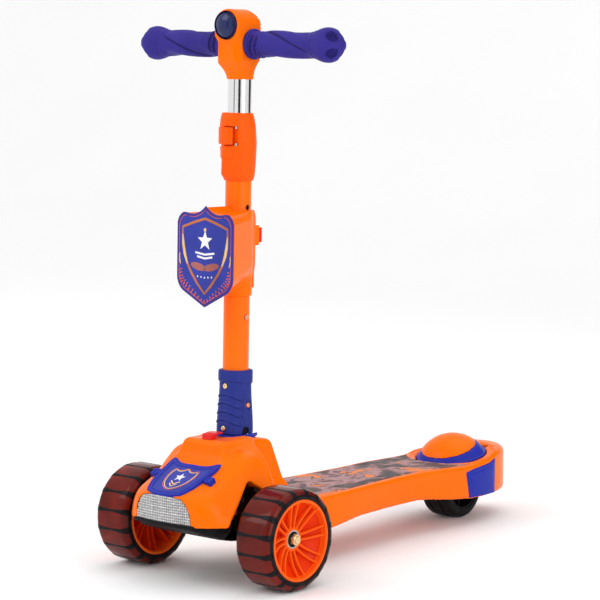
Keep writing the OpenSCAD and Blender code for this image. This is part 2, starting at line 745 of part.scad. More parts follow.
module head_shell() difference() {
    union() {
        head_solid(0);
        translate([0, 0, head_low]) cylinder(r = 15.8, h = 14);
    }
    difference() {
        head_solid(2.6);
        translate([0, 0, head_low]) cylinder(r = 15.8, h = 14);
    }
    translate([0, 0, head_low - 1]) cylinder(r = inner_tube_d / 2, h = 40);
    translate([0, 0, bar_h]) x_cylinder(bar_tube_d / 2, -30, 30);
    translate([0, 0, horn_h]) y_cylinder(16.6, -40, head_front_y + 3);
    for (h = [horn_h, 437]) translate([0, 0, h]) y_cylinder(1.8, head_rear_y - 3, 30);
}

module head_front() color("darkorange") in_column() intersection() {
    head_shell();
    block([-40, -40, 400], [40, 0, 510]);
}

module head_rear() color("darkorange") in_column() intersection() {
    head_shell();
    block([-40, 0, 400], [40, 40, 510]);
}

module head_screws() color("silver") in_column() for (h = [horn_h, 437]) translate([0, 0, h]) {
    y_cylinder(1.8, inner_tube_d / 2 + 0.1, head_rear_y);
    y_cylinder(3, head_rear_y, head_rear_y + 1.2);
}

module horn_button() color("midnightblue") in_column() translate([0, 0, horn_h]) {
    y_cylinder(16.2, head_front_y + 0.5, head_front_y + 5);
    intersection() {
        y_cylinder(16.2, head_front_y - 6, head_front_y + 0.6);
        translate([0, head_front_y + 34, 0]) sphere(r = 37, $fn = 96);
    }
}

// Grip along +Z, its inner flange against the head at z = 0
module grip() difference() {
    rotate_extrude($fn = 64) union() {
        translate([0, 0]) square([18, 4]);
        square([grip_d / 2, bar_width / 2 - head_hw - grip_ball_d / 2]);
        intersection() {
            translate([0, bar_width / 2 - head_hw - grip_ball_d / 2]) circle(r = grip_ball_d / 2);
            square([40, 200]);
        }
    }
    translate([0, 0, -1]) cylinder(r = bar_tube_d / 2, h = 128 - head_hw + 1);
}

module grip_left() color("darkslateblue") in_column() translate([head_hw, 0, bar_h])
    rotate([0, 90, 0]) grip();
module grip_right() color("darkslateblue") in_column() translate([-head_hw, 0, bar_h])
    rotate([0, -90, 0]) grip();

// ---------------------------------------------------------------- buttons

module box_button() color("red") in_column()
    block([-9, box_rear_y + 9.2, 223], [9, box_rear_y + 19, 241]);

module fold_release() color("red") place() {
    block([-9, -13.5, 155], [9, 0, 173]);
    block([-7, -1, 168.2], [7, 17, 170.6]);
}

module underside_screws() color("silver") at_tray_screws() mirror([0, 0, 1]) screw(tray_screw_r, 12);

deck_shell();
grip_sheet();
tail_panels();
front_housing();
base_tray();
bumper_strip();
headlight_lens();
headlight_board();
bonnet_shield();
column_flange();
fold_bracket();
fold_pivot_bolt();
steering_bridge();
kingpins();
steer_bushings();
rear_axle_bolt();
brake_pivot_pin();
brake_spring();
underside_screws();
fold_sleeve();
sleeve_screws();
outer_tube();
clamp_collar();
clamp_pin();
shield_box();
shield_plate();
box_cover();
box_screws();
speaker();
sound_board();
battery_cells();
inner_tube();
handlebar_tube();
head_front();
head_rear();
grip_left();
grip_right();
height_button();
head_screws();
clamp_lever();
horn_button();
box_button();
fold_release();
brake_dome();
brake_band();
brake_shoe();
knuckle_left();
knuckle_right();
tie_rod();
stub_axle_left();
stub_axle_right();
tyre_left();
rim_left();
bearings_left();
tyre_right();
rim_right();
bearings_right();
rear_tyre();
rear_rim();
rear_bearings();
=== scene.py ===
"""Looks of the children's three-wheel kick scooter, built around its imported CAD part.

Front is -Y, the rider's left is +X, up is +Z. Shapes are worked out in millimetres in the
frame of the sub-part that they belong to, and a Place carries them into the scooter's frame.
"""

import json
import math
from functools import reduce

import bpy
import numpy as np
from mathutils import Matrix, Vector


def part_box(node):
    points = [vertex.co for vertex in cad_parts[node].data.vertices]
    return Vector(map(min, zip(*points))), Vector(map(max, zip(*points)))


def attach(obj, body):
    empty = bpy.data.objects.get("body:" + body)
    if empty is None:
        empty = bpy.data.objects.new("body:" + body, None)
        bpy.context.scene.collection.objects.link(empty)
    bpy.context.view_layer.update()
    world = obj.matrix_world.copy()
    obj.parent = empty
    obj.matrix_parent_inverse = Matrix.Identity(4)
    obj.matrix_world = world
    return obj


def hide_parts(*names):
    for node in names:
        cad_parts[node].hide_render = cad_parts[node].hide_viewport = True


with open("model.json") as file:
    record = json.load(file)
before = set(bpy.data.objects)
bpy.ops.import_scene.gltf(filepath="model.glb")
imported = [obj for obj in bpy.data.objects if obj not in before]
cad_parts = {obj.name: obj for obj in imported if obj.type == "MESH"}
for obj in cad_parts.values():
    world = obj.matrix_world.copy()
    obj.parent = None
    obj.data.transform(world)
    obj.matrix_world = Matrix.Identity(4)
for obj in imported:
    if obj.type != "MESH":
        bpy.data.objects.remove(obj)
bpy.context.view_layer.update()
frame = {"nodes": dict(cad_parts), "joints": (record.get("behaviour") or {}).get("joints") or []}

MM = 0.001


# ---------------------------- places


def node_box(node):
    """Lowest and highest corner of a CAD node, in millimetres."""
    low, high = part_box(node)
    return np.array(low) / MM, np.array(high) / MM


def turn_x(degrees):
    c, s = math.cos(math.radians(degrees)), math.sin(math.radians(degrees))
    return np.array([[1, 0, 0], [0, c, -s], [0, s, c]])


class Place:
    """A sub-part's own frame: an origin and three axes, in millimetres."""

    def __init__(self, origin, axes=None):
        self.origin = np.array(origin, float)
        self.axes = np.eye(3) if axes is None else axes

    def out(self, points):
        return (points @ self.axes.T + self.origin) * MM


wheel_low, wheel_high = node_box("tyre_left")
rear_low, rear_high = node_box("rear_tyre")
wheel_at = (wheel_low + wheel_high) / 2
rear_at = (rear_low + rear_high) / 2
wheel_r = (wheel_high[2] - wheel_low[2]) / 2
wheel_w = wheel_high[0] - wheel_low[0]
rear_r = (rear_high[2] - rear_low[2]) / 2
rear_w = rear_high[0] - rear_low[0]
axle_y = wheel_at[1]

pivot = sum(node_box("fold_pivot_bolt")) / 2
slide = next(j for j in frame["joints"] if j["name"] == "height_slide")
rake = math.degrees(math.atan2(slide["axis"][1], slide["axis"][2]))

# The brake dome leans forward, its middle just ahead of the rear axle.
DOME_TILT, DOME_Z = 10, 82
dome_at = rear_at[1] - 1
DOME_Y = dome_at - axle_y

SIDES = ((1, "left"), (-1, "right"))
DECK = Place([0, axle_y, 0])
COLUMN = Place(pivot, turn_x(-rake))
DOME = Place([0, dome_at, DOME_Z], turn_x(DOME_TILT))


def facing(side):
    """Axes with Z pointing away from the scooter's middle and Y along the scooter."""
    return np.array([[0, 0, side], [0, 1, 0], [-side, 0, 0]], float)


# ---------------------------- distance fields


def fold(a, b, k):
    """The smaller of two fields, blended over the width k."""
    h = np.clip(0.5 + 0.5 * (b - a) / k, 0, 1)
    return b * (1 - h) + a * h - k * h * (1 - h)


def cross(a, b, k):
    """The larger of two fields, its edge rounded over the width k."""
    return -fold(-a, -b, k)


def crossed(k, *fields):
    result = fields[0]
    for field in fields[1:]:
        result = cross(result, field, k)
    return result


def common(*fields):
    """What all the fields share, its edges sharp."""
    return reduce(np.maximum, fields)


def either(*fields):
    """All the fields together, their edges sharp."""
    return reduce(np.minimum, fields)


def bar(x, y, z, a, b, ra, rb=None):
    """Round bar from a to b, its radius going from ra to rb."""
    rb = ra if rb is None else rb
    d = np.subtract(b, a)
    t = np.clip(((x - a[0]) * d[0] + (y - a[1]) * d[1] + (z - a[2]) * d[2]) / (d @ d), 0, 1)
    r = ra + (rb - ra) * t
    return np.sqrt((x - a[0] - t * d[0]) ** 2 + (y - a[1] - t * d[1]) ** 2
                   + (z - a[2] - t * d[2]) ** 2) - r


def block(x, y, z, c, half, r):
    """Block with round edges of radius r."""
    q = [np.abs(v - c[i]) - half[i] + r for i, v in enumerate((x, y, z))]
    outside = np.sqrt(sum(np.maximum(v, 0) ** 2 for v in q))
    return outside + np.minimum(np.maximum(q[0], np.maximum(q[1], q[2])), 0) - r


def frame_2d(u, v, half_u, half_v, r):
    """Rectangle with round corners, in its own plane."""
    a, b = np.abs(u) - half_u + r, np.abs(v) - half_v + r
    return np.hypot(np.maximum(a, 0), np.maximum(b, 0)) + np.minimum(np.maximum(a, b), 0) - r


def disc(u, v, w, r, w0, w1, k=1.0):
    """Round plate of radius r between w0 and w1, its edges rounded."""
    return cross(np.hypot(u, v) - r, common(w0 - w, w - w1), k)


def outline_2d(u, v, points):
    """Signed distance to a closed outline, negative inside."""
    pts = np.array(points, float)
    best = np.full(np.shape(u), 1e9)
    inside = np.zeros(np.shape(u), bool)
    for (ax, ay), (bx, by) in zip(pts, np.roll(pts, -1, axis=0)):
        ex, ey = bx - ax, by - ay
        t = np.clip(((u - ax) * ex + (v - ay) * ey) / (ex * ex + ey * ey + 1e-12), 0, 1)
        best = np.minimum(best, np.hypot(u - ax - t * ex, v - ay - t * ey))
        spans = (ay <= v) != (by <= v)
        if ey:
            inside ^= spans & (u < ax + (v - ay) * ex / ey)
    return np.where(inside, -best, best)


def ramp(t, a, b):
    """Smooth step from 0 at a to 1 at b."""
    u = np.clip((t - a) / (b - a), 0, 1)
    return u * u * (3 - 2 * u)


def line_through(points, soft):
    """Height along a line of points, its corners softened over the length 2 * soft."""
    xs, ys = np.array(points, float).T

    def value(t):
        return sum(np.interp(t + soft * s, xs, ys) for s in (-1, -0.5, 0, 0.5, 1)) / 5

    return value


def on_circle(centre, r, degrees):
    a = math.radians(degrees)
    return centre[0] + r * math.cos(a), centre[1] + r * math.sin(a)


def arc(centre, r, a0, a1, n):
    return [on_circle(centre, r, a0 + (a1 - a0) * i / n) for i in range(n + 1)]


def both_sides(half, up=0):
    """Closed outline from its right half, which starts and ends on the middle line, moved up."""
    return [(u, v + up) for u, v in half + [(-u, v) for u, v in half[-2:0:-1]]]


def star(centre, r, inner=0.42):
    """Five-pointed star with one point up."""
    return [on_circle(centre, r * (inner if i % 2 else 1), 90 + 36 * i) for i in range(10)]


# ---------------------------- meshes


def surface(field, low, high, step, rounds=3):
    """Mesh of the surface on which field(x, y, z) is zero: one vertex per crossed cell."""
    low = np.array(low, float) - 2 * step
    n = np.ceil((np.array(high, float) + 2 * step - low) / step).astype(int) + 1
    grid = np.meshgrid(*[low[i] + step * np.arange(n[i]) for i in range(3)], indexing="ij")
    f = field(*grid)
    f[f == 0] = 1e-6
    cells = n - 1
    total = int(np.prod(cells))
    count, place = np.zeros(total), np.zeros((total, 3))
    quads = []
    for a in range(3):
        b, c = (a + 1) % 3, (a + 2) % 3
        f0, f1 = np.moveaxis(f, a, 0)[:-1], np.moveaxis(f, a, 0)[1:]
        hit = np.argwhere(np.moveaxis((f0 < 0) != (f1 < 0), 0, a))
        hit = hit[(hit[:, b] > 0) & (hit[:, c] > 0) & (hit[:, b] < n[b] - 1) & (hit[:, c] < n[c] - 1)]
        ahead = hit.copy()
        ahead[:, a] += 1
        v0, v1 = f[tuple(hit.T)], f[tuple(ahead.T)]
        point = hit.astype(float)
        point[:, a] += v0 / (v0 - v1)
        around = []
        for back_b, back_c in ((1, 1), (0, 1), (0, 0), (1, 0)):
            cell = hit.copy()
            cell[:, b] -= back_b
            cell[:, c] -= back_c
            index = np.ravel_multi_index(cell.T, cells)
            around.append(index)
            count += np.bincount(index, minlength=total)
            for k in range(3):
                place[:, k] += np.bincount(index, point[:, k], minlength=total)
        quad = np.stack(around, 1)
        quad[v0 >= 0] = quad[v0 >= 0][:, ::-1]
        quads.append(quad)
    used = np.flatnonzero(count)
    number = np.zeros(total, int)
    number[used] = np.arange(len(used))
    verts = low + step * place[used] / count[used, None]
    h = 0.25 * step
    for _ in range(rounds):
        value = field(*verts.T)
        slope = np.stack([(field(*(verts + d).T) - field(*(verts - d).T)) / (2 * h)
                          for d in np.eye(3) * h], 1)
        move = value[:, None] * slope / np.maximum((slope ** 2).sum(1), 0.05)[:, None]
        size = np.linalg.norm(move, axis=1, keepdims=True)
        verts -= move * np.minimum(1, 0.6 * step / np.maximum(size, 1e-9))
    return verts, number[np.concatenate(quads)].tolist()


def grid_faces(rows, columns, wrap_rows=False, wrap_columns=False, first=0):
    faces = []
    for i in range(rows if wrap_rows else rows - 1):
        for j in range(columns if wrap_columns else columns - 1):
            i1, j1 = (i + 1) % rows, (j + 1) % columns
            faces.append([first + i * columns + j, first + i * columns + j1,
                          first + i1 * columns + j1, first + i1 * columns + j])
    return faces


def turned(profile, n=96, closed=True):
    """Solid of revolution round Z. profile is a list of (r, z); closed joins its ends."""
    profile = np.array(profile, float)
    angle = 2 * math.pi * np.arange(n) / n
    verts = np.stack([np.outer(np.cos(angle), profile[:, 0]), np.outer(np.sin(angle), profile[:, 0]),
                      np.outer(np.ones(n), profile[:, 1])], 2).reshape(-1, 3)
    faces = grid_faces(n, len(profile), wrap_rows=True, wrap_columns=closed)
    return verts, [f[::-1] for f in faces]


def rod(r, low, high, n=32):
    """Plain rod along Z."""
    return turned([(0.01, high), (r, high), (r, low), (0.01, low)], n)


def slab(top, bottom):
    """Closed solid between two grids of points of the same shape."""
    rows, columns = top.shape[:2]
    verts = np.concatenate([top.reshape(-1, 3), bottom.reshape(-1, 3)])
    size = rows * columns
    faces = grid_faces(rows, columns) + [f[::-1] for f in grid_faces(rows, columns, first=size)]
    edge = ([(0, j) for j in range(columns - 1)] + [(i, columns - 1) for i in range(rows - 1)]
            + [(rows - 1, j) for j in range(columns - 1, 0, -1)] + [(i, 0) for i in range(rows - 1, 0, -1)])
    index = [i * columns + j for i, j in edge]
    for p, q in zip(index, index[1:] + index[:1]):
        faces.append([q, p, p + size, q + size])
    return verts, faces


def joined(*parts):
    """Several meshes as one."""
    verts, faces, start = [], [], 0
    for v, f in parts:
        verts.append(np.asarray(v, float))
        faces += [[i + start for i in face] for face in f]
        start += len(v)
    return np.concatenate(verts), faces


SINK = 0.3


def ribbon(path, half_width, rise, closed=False):
    """Raised line along a flat path of (u, v): bevelled, rise above w = 0, SINK below it."""
    p = np.array(path, float)
    if closed:
        ahead = np.roll(p, -1, axis=0) - np.roll(p, 1, axis=0)
    else:
        ahead = np.gradient(p, axis=0)
    ahead /= np.linalg.norm(ahead, axis=1, keepdims=True)
    side = np.stack([-ahead[:, 1], ahead[:, 0]], 1)
    half = np.broadcast_to(np.asarray(half_width, float), (len(p),))[:, None]
    section = ((1, -SINK), (1, rise * 0.5), (0.8, rise), (-0.8, rise), (-1, rise * 0.5), (-1, -SINK))
    rows = np.stack([np.concatenate([p + side * half * a, np.full((len(p), 1), w)], 1)
                     for a, w in section], 1)
    verts = rows.reshape(-1, 3)
    faces = grid_faces(len(p), len(section), wrap_rows=closed, wrap_columns=True)
    if not closed:
        m, last = len(section), (len(p) - 1) * len(section)
        faces += [list(range(m)), [last + i for i in range(m)][::-1]]
    return verts, [f[::-1] for f in faces]


def badge(points, rise):
    """Flat raised shape from a closed outline in (u, v), its edge bevelled."""
    p = np.array(points, float)
    centre = p.mean(axis=0)
    n = len(p)
    rings = [(1, -SINK), (1, rise * 0.5), (0.96, rise)]
    verts = np.concatenate([np.concatenate([centre + (p - centre) * s, np.full((n, 1), w)], 1)
                            for s, w in rings] + [[[*centre, rise]], [[*centre, -SINK]]])
    faces = []
    for k in range(2):
        for i in range(n):
            j = (i + 1) % n
            faces.append([k * n + i, k * n + j, (k + 1) * n + j, (k + 1) * n + i])
    for i in range(n):
        j = (i + 1) % n
        faces += [[2 * n + i, 2 * n + j, 3 * n], [j, i, 3 * n + 1]]
    area = sum(p[i - 1, 0] * p[i, 1] - p[i, 0] * p[i - 1, 1] for i in range(n))
    return verts, faces if area > 0 else [f[::-1] for f in faces]


def laid(mesh, origin, u, v):
    """Carries a mesh drawn in (u, v, w) onto a plane: w rises along u x v."""
    u, v = np.array(u, float), np.array(v, float)
    u, v = u / np.linalg.norm(u), v / np.linalg.norm(v)
    return mesh[0] @ np.stack([u, v, np.cross(u, v)]) + np.array(origin, float), mesh[1]


def piece(name, mesh, place, body, materials, paint=None, nodes=()):
    verts, faces = mesh
    data = bpy.data.meshes.new(name)
    data.from_pydata(place.out(np.asarray(verts)).tolist(), [], faces)
    data.validate()
    data.update()
    materials = materials if isinstance(materials, (list, tuple)) else [materials]
    for material in materials:
        data.materials.append(material)
    data.polygons.foreach_set("use_smooth", np.ones(len(data.polygons), bool))
    if paint:
        centres = np.array([p.center for p in data.polygons]) / MM
        normals = np.array([p.normal for p in data.polygons]) @ place.axes
        index = paint((centres - place.origin) @ place.axes, normals)
        data.polygons.foreach_set("material_index", np.asarray(index, np.int32))
    obj = bpy.data.objects.new(name, data)
    bpy.context.scene.collection.objects.link(obj)
    data.set_sharp_from_angle(angle=math.radians(40))
    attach(obj, body)
    if nodes:
        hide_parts(*nodes)
    return obj


# ---------------------------- materials


class Nodes:
    """Short names for the nodes of one material."""

    def __init__(self, name):
        self.material = bpy.data.materials.new(name)
        self.material.use_nodes = True
        self.tree = self.material.node_tree
        self.shader = self.tree.nodes["Principled BSDF"]
        self.coords = self.add("ShaderNodeTexCoord").outputs["Object"]

    def add(self, kind, **settings):
        node = self.tree.nodes.new(kind)
        for key, value in settings.items():
            setattr(node, key, value)
        return node

    def join(self, a, b):
        self.tree.links.new(a, b)

    def noise(self, scale, detail=3, stretch=(1, 1, 1), distortion=0.0):
        mapping = self.add("ShaderNodeMapping")
        mapping.inputs["Scale"].default_value = stretch
        self.join(self.coords, mapping.inputs["Vector"])
        node = self.add("ShaderNodeTexNoise")
        node.inputs["Scale"].default_value = scale
        node.inputs["Detail"].default_value = detail
        node.inputs["Distortion"].default_value = distortion
        self.join(mapping.outputs["Vector"], node.inputs["Vector"])
        return node.outputs["Fac"]

    def ramp(self, value, *stops, constant=False):
        node = self.add("ShaderNodeValToRGB")
        ramp = node.color_ramp
        ramp.interpolation = "CONSTANT" if constant else "LINEAR"
        while len(ramp.elements) < len(stops):
            ramp.elements.new(0.5)
        for element, (at, colour) in zip(ramp.elements, stops):
            element.position = at
            element.color = (*colour, 1)
        self.join(value, node.inputs["Fac"])
        return node.outputs["Color"]

    def span(self, value, low, high, at=(0.3, 0.7)):
        node = self.add("ShaderNodeMapRange")
        for key, number in zip(("From Min", "From Max", "To Min", "To Max"), (*at, low, high)):
            node.inputs[key].default_value = number
        self.join(value, node.inputs["Value"])
        return node.outputs["Result"]

    def bump(self, value, depth, strength=1.0):
        node = self.add("ShaderNodeBump")
        node.inputs["Distance"].default_value = depth
        node.inputs["Strength"].default_value = strength
        self.join(value, node.inputs["Height"])
        self.join(node.outputs["Normal"], self.shader.inputs["Normal"])

    def set(self, **values):
        for key, value in values.items():
            self.shader.inputs[key.replace("_", " ")].default_value = value


def shade(colour, factor):
    return tuple(min(1.0, c * factor) for c in colour)


# A low index keeps the white studio from washing the strong colours out.
LOW_IOR = 1.2


def finish(name, colour, rough, grain=900, depth=0.00002, coat=0.0, mottling=0.06, **values):
    """Moulded or painted surface: slight colour drift, uneven gloss and a fine skin."""
    n = Nodes(name)
    drift = n.noise(26, 4)
    n.join(n.ramp(drift, (0.3, shade(colour, 1 - mottling)), (0.7, shade(colour, 1 + mottling))),
           n.shader.inputs["Base Color"])
    n.join(n.span(n.noise(70, 5), rough * 0.85, rough * 1.2), n.shader.inputs["Roughness"])
    n.bump(n.noise(grain, 2), depth)
    n.set(Coat_Weight=coat, Coat_Roughness=0.08, IOR=LOW_IOR, Specular_IOR_Level=0.3, **values)
    return n.material


ORANGE = (1.0, 0.155, 0.0)
CLAMP = (1.0, 0.105, 0.003)
# The rim's two oranges are lit and shaded copies of one colour: the darker one is painted shade on the web,
# the lighter one painted highlight on the ribs and the barrel's rim.
RIM_WEB_SHADED = (0.80, 0.040, 0.001)
RIB_LIT = (1.0, 0.12, 0.006)
BLUE = (0.020, 0.032, 0.36)
PLATE_BLUE = (0.040, 0.052, 0.33)
NAVY = (0.010, 0.017, 0.085)
SLEEVE_BLUE = (0.024, 0.036, 0.235)
GRIP = (0.036, 0.026, 0.235)
RED = (0.75, 0.012, 0.010)
BLACK = (0.009, 0.009, 0.010)
TYRE = (0.13, 0.008, 0.004)
PALE = (0.85, 0.83, 0.84)

orange = finish("orange_moulding", ORANGE, 0.22, coat=0.05, mottling=0.03)
painted = finish("painted_tube", ORANGE, 0.2, grain=500, depth=0.000015, coat=0.2, mottling=0.02)
clamp_orange = finish("clamp_moulding", CLAMP, 0.36, coat=0.04, mottling=0.03)
rim_web_shaded = finish("rim_web_painted_shade", RIM_WEB_SHADED, 0.34, coat=0.05, mottling=0.04)
rib_lit = finish("rib_painted_highlight", RIB_LIT, 0.32, coat=0.08, mottling=0.04)
blue = finish("blue_moulding", BLUE, 0.34, coat=0.05)
sleeve_blue = finish("sleeve_blue", SLEEVE_BLUE, 0.42, coat=0.05)
plate_blue = finish("plate_blue", PLATE_BLUE, 0.38, coat=0.04, mottling=0.16)
plate_rim = finish("plate_rim", (0.060, 0.036, 0.24), 0.36, coat=0.1, mottling=0.1)
navy = finish("navy_button", NAVY, 0.22, coat=0.5)
red = finish("red_button", RED, 0.3, coat=0.3)
black = finish("black_moulding", BLACK, 0.42, grain=1500, depth=0.00006, mottling=0.2)
# Near-black colour painted as shade on the inner faces of the housing.
inside_painted_shade = finish("inside_painted_shade", (0.012, 0.010, 0.010), 0.6, grain=700, depth=0.00008, mottling=0.2)
circuit = finish("circuit_board", (0.01, 0.12, 0.03), 0.45, mottling=0.15)
bushing = finish("bushing_rubber", (0.02, 0.02, 0.02), 0.7, grain=1200, depth=0.0001, mottling=0.2)
copper_print = finish("copper_print", (0.50, 0.16, 0.05), 0.32, mottling=0.3, Metallic=0.3)
rose_print = finish("rose_print", (0.36, 0.12, 0.11), 0.4, mottling=0.2)
gold_print = finish("gold_print", (0.86, 0.55, 0.20), 0.3, mottling=0.25, Metallic=0.2)
orange_print = finish("orange_print", (0.80, 0.14, 0.02), 0.4, mottling=0.2)
pale_print = finish("pale_print", PALE, 0.45, mottling=0.04)


def grip_rubber(name, tone):
    """Matt violet-blue rubber with a fine grain; a lower tone gives a darker, shaded copy that paints shade
    into its grooves.
    """
    n = Nodes(name)
    n.join(n.ramp(n.noise(18, 3), (0.3, shade(GRIP, 0.86 * tone)), (0.7, shade(GRIP, 1.12 * tone))),
           n.shader.inputs["Base Color"])
    n.join(n.span(n.noise(200, 4), 0.5, 0.62), n.shader.inputs["Roughness"])
    n.bump(n.noise(2200, 2), 0.00012, 0.5)
    n.set(IOR=LOW_IOR, Specular_IOR_Level=0.4)
    return n.material


def metal(name, colour, rough, stretch=(1, 1, 1)):
    """Metal with a faint grain, drawn out along an axis where stretch is small."""
    n = Nodes(name)
    n.join(n.ramp(n.noise(60, 4, stretch), (0.3, shade(colour, 0.9)), (0.7, shade(colour, 1.05))),
           n.shader.inputs["Base Color"])
    n.join(n.span(n.noise(160, 5, stretch), rough * 0.7, rough * 1.4), n.shader.inputs["Roughness"])
    n.bump(n.noise(1200, 2, stretch), 0.00001)
    n.set(Metallic=1.0)
    return n.material


def tyre_red():
    """Cloudy see-through urethane: deep red with lighter veils under a wet gloss."""
    n = Nodes("tyre_red")
    veil = n.noise(22, 4, distortion=0.6)
    n.join(n.ramp(veil, (0.3, shade(TYRE, 0.62)), (0.55, TYRE), (0.75, shade(TYRE, 1.5))),
           n.shader.inputs["Base Color"])
    n.join(n.span(n.noise(90, 4), 0.1, 0.2), n.shader.inputs["Roughness"])
    n.bump(n.noise(40, 2), 0.0002, 0.25)
    n.set(Coat_Weight=0.2, Coat_Roughness=0.06, IOR=LOW_IOR, Specular_IOR_Level=0.3)
    return n.material


def printed_sheet():
    """Camouflage print on gritty tape: dark, brown and rose patches, more orange ones in front."""
    n = Nodes("printed_sheet")
    patches = n.noise(38, 4, (1.0, 0.6, 1.0), distortion=0.5)
    along = n.add("ShaderNodeSeparateXYZ")
    n.join(n.coords, along.inputs["Vector"])
    lift = n.span(along.outputs["Y"], 0.075, 0.0, (axle_y * MM + 0.11, axle_y * MM + 0.2))
    total = n.add("ShaderNodeMath", operation="ADD")
    n.join(patches, total.inputs[0])
    n.join(lift, total.inputs[1])
    patches = total.outputs["Value"]
    tone = n.ramp(patches, (0.0, (0.030, 0.026, 0.030)), (0.40, (0.10, 0.050, 0.045)),
                  (0.455, (0.27, 0.12, 0.12)), (0.50, (0.42, 0.22, 0.22)),
                  (0.57, (0.13, 0.06, 0.055)), (0.60, (0.85, 0.20, 0.02)), constant=True)
    speck = n.noise(160, 4)
    mix = n.add("ShaderNodeMix", data_type="RGBA", blend_type="MULTIPLY")
    mix.inputs["Factor"].default_value = 0.5
    n.join(tone, mix.inputs[6])
    n.join(n.ramp(speck, (0.35, (0.55, 0.55, 0.6)), (0.6, (1.0, 1.0, 1.0))), mix.inputs[7])
    n.join(mix.outputs[2], n.shader.inputs["Base Color"])
    n.join(n.span(speck, 0.45, 0.7), n.shader.inputs["Roughness"])
    n.bump(n.noise(900, 3), 0.0002, 0.6)
    return n.material


def clear_lens():
    """Bright reflector seen through a glossy skin."""
    n = Nodes("clear_lens")
    n.join(n.ramp(n.noise(300, 3), (0.3, (0.42, 0.42, 0.43)), (0.7, (0.66, 0.65, 0.65))),
           n.shader.inputs["Base Color"])
    n.join(n.span(n.noise(500, 3), 0.12, 0.3), n.shader.inputs["Roughness"])
    n.bump(n.noise(700, 2), 0.00008, 0.5)
    n.set(Metallic=0.45, Coat_Weight=0.8, Coat_Roughness=0.05)
    return n.material


lens_cell = metal("lens_cell", (0.16, 0.155, 0.16), 0.35)
# The second, darker copy of the grip rubber is painted shade for the grip's grooves, rib gaps and scoops.
rubber, rubber_painted_shade = grip_rubber("grip_rubber", 1.0), grip_rubber("grip_groove_painted_shade", 0.5)
chrome = metal("chrome", (0.80, 0.79, 0.80), 0.07, (1, 1, 0.05))
steel = metal("steel", (0.52, 0.51, 0.50), 0.3)
# Near-black steel painted as shade on the steering parts under the housing.
steel_painted_shade = metal("steel_painted_shade", (0.05, 0.05, 0.055), 0.45)
brass = metal("brass", (0.78, 0.58, 0.30), 0.24)
copper = metal("copper", (0.80, 0.42, 0.26), 0.28)
aluminium = metal("aluminium", (0.62, 0.62, 0.63), 0.38)
red_tyre = tyre_red()
black_tyre = finish("tyre_black", (0.012, 0.012, 0.013), 0.4, grain=600, depth=0.0001, mottling=0.2)
tyre_bar = finish("tyre_bar", (0.010, 0.007, 0.008), 0.28, coat=0.06, mottling=0.3)
sheet_print = printed_sheet()
lens = clear_lens()

# CAD nodes whose shape is already right keep their mesh and take these finishes.
node_finish = {
    "orange_plastic": orange, "blue_plastic": blue, "red_plastic": red, "clamp_plastic": clamp_orange,
    "black_plastic": black, "navy_plastic": navy, "grip_rubber": rubber, "painted_tube": painted,
    "chrome": chrome, "steel": steel, "aluminium": aluminium, "tyre_red": red_tyre,
    "tyre_black": black_tyre, "rim_plastic": rim_web_shaded, "lens": lens, "circuit_board": circuit,
    "grip_sheet": sheet_print, "bushing_rubber": bushing,
}
for node in frame["nodes"].values():
    for slot in node.material_slots:
        slot.material = node_finish[slot.material.name.split(".")[0]]
# These nodes look different from the rest of their slot. The kingpins, steering bridge, tie rod and fold
# bracket take a near-black steel, and the fold pivot bolt black, as painted shade where they sit in shade.
special = {steel_painted_shade: ("kingpins", "steering_bridge", "tie_rod", "fold_bracket"),
           black: ("fold_pivot_bolt",), orange: ("box_screws",), copper: ("height_button",),
           brass: ("stub_axle_left", "stub_axle_right")}
for material, names in special.items():
    for name in names:
        frame["nodes"][name].material_slots[0].material = material


# ---------------------------- wheels

TYRE_SHOULDER = 9
TYRE_BARS = 16
BAR_RISE = 0.3
rim_low, rim_high = node_box("rim_left")
rim_r = (rim_high[2] - rim_low[2]) / 2
hub_out, hub_in, hub_r = 14, 16, 13.5
RIB_PAIRS = 8


def tyre_line(r_out, w, shoulder, inset, r_in, n=10):
    """Outside of a tyre's section as (r, z) points, drawn inset inside its true size."""
    s = shoulder - inset
    c = w / 2 - shoulder
    return ([(r_in, -w / 2 + inset)] + arc((r_out - shoulder, -c), s, -90, 0, n)
            + arc((r_out - shoulder, c), s, 0, 90, n) + [(r_in, w / 2 - inset)])


def bar_line(inset):
    """Section of a tyre from bead to bead, with extra points across the flat tread."""
    line = np.array(tyre_line(wheel_r, wheel_w, TYRE_SHOULDER, inset, rim_r + 4, 8))
    return np.concatenate([line[:9], np.linspace(line[9], line[10], 6)[1:-1], line[10:]])


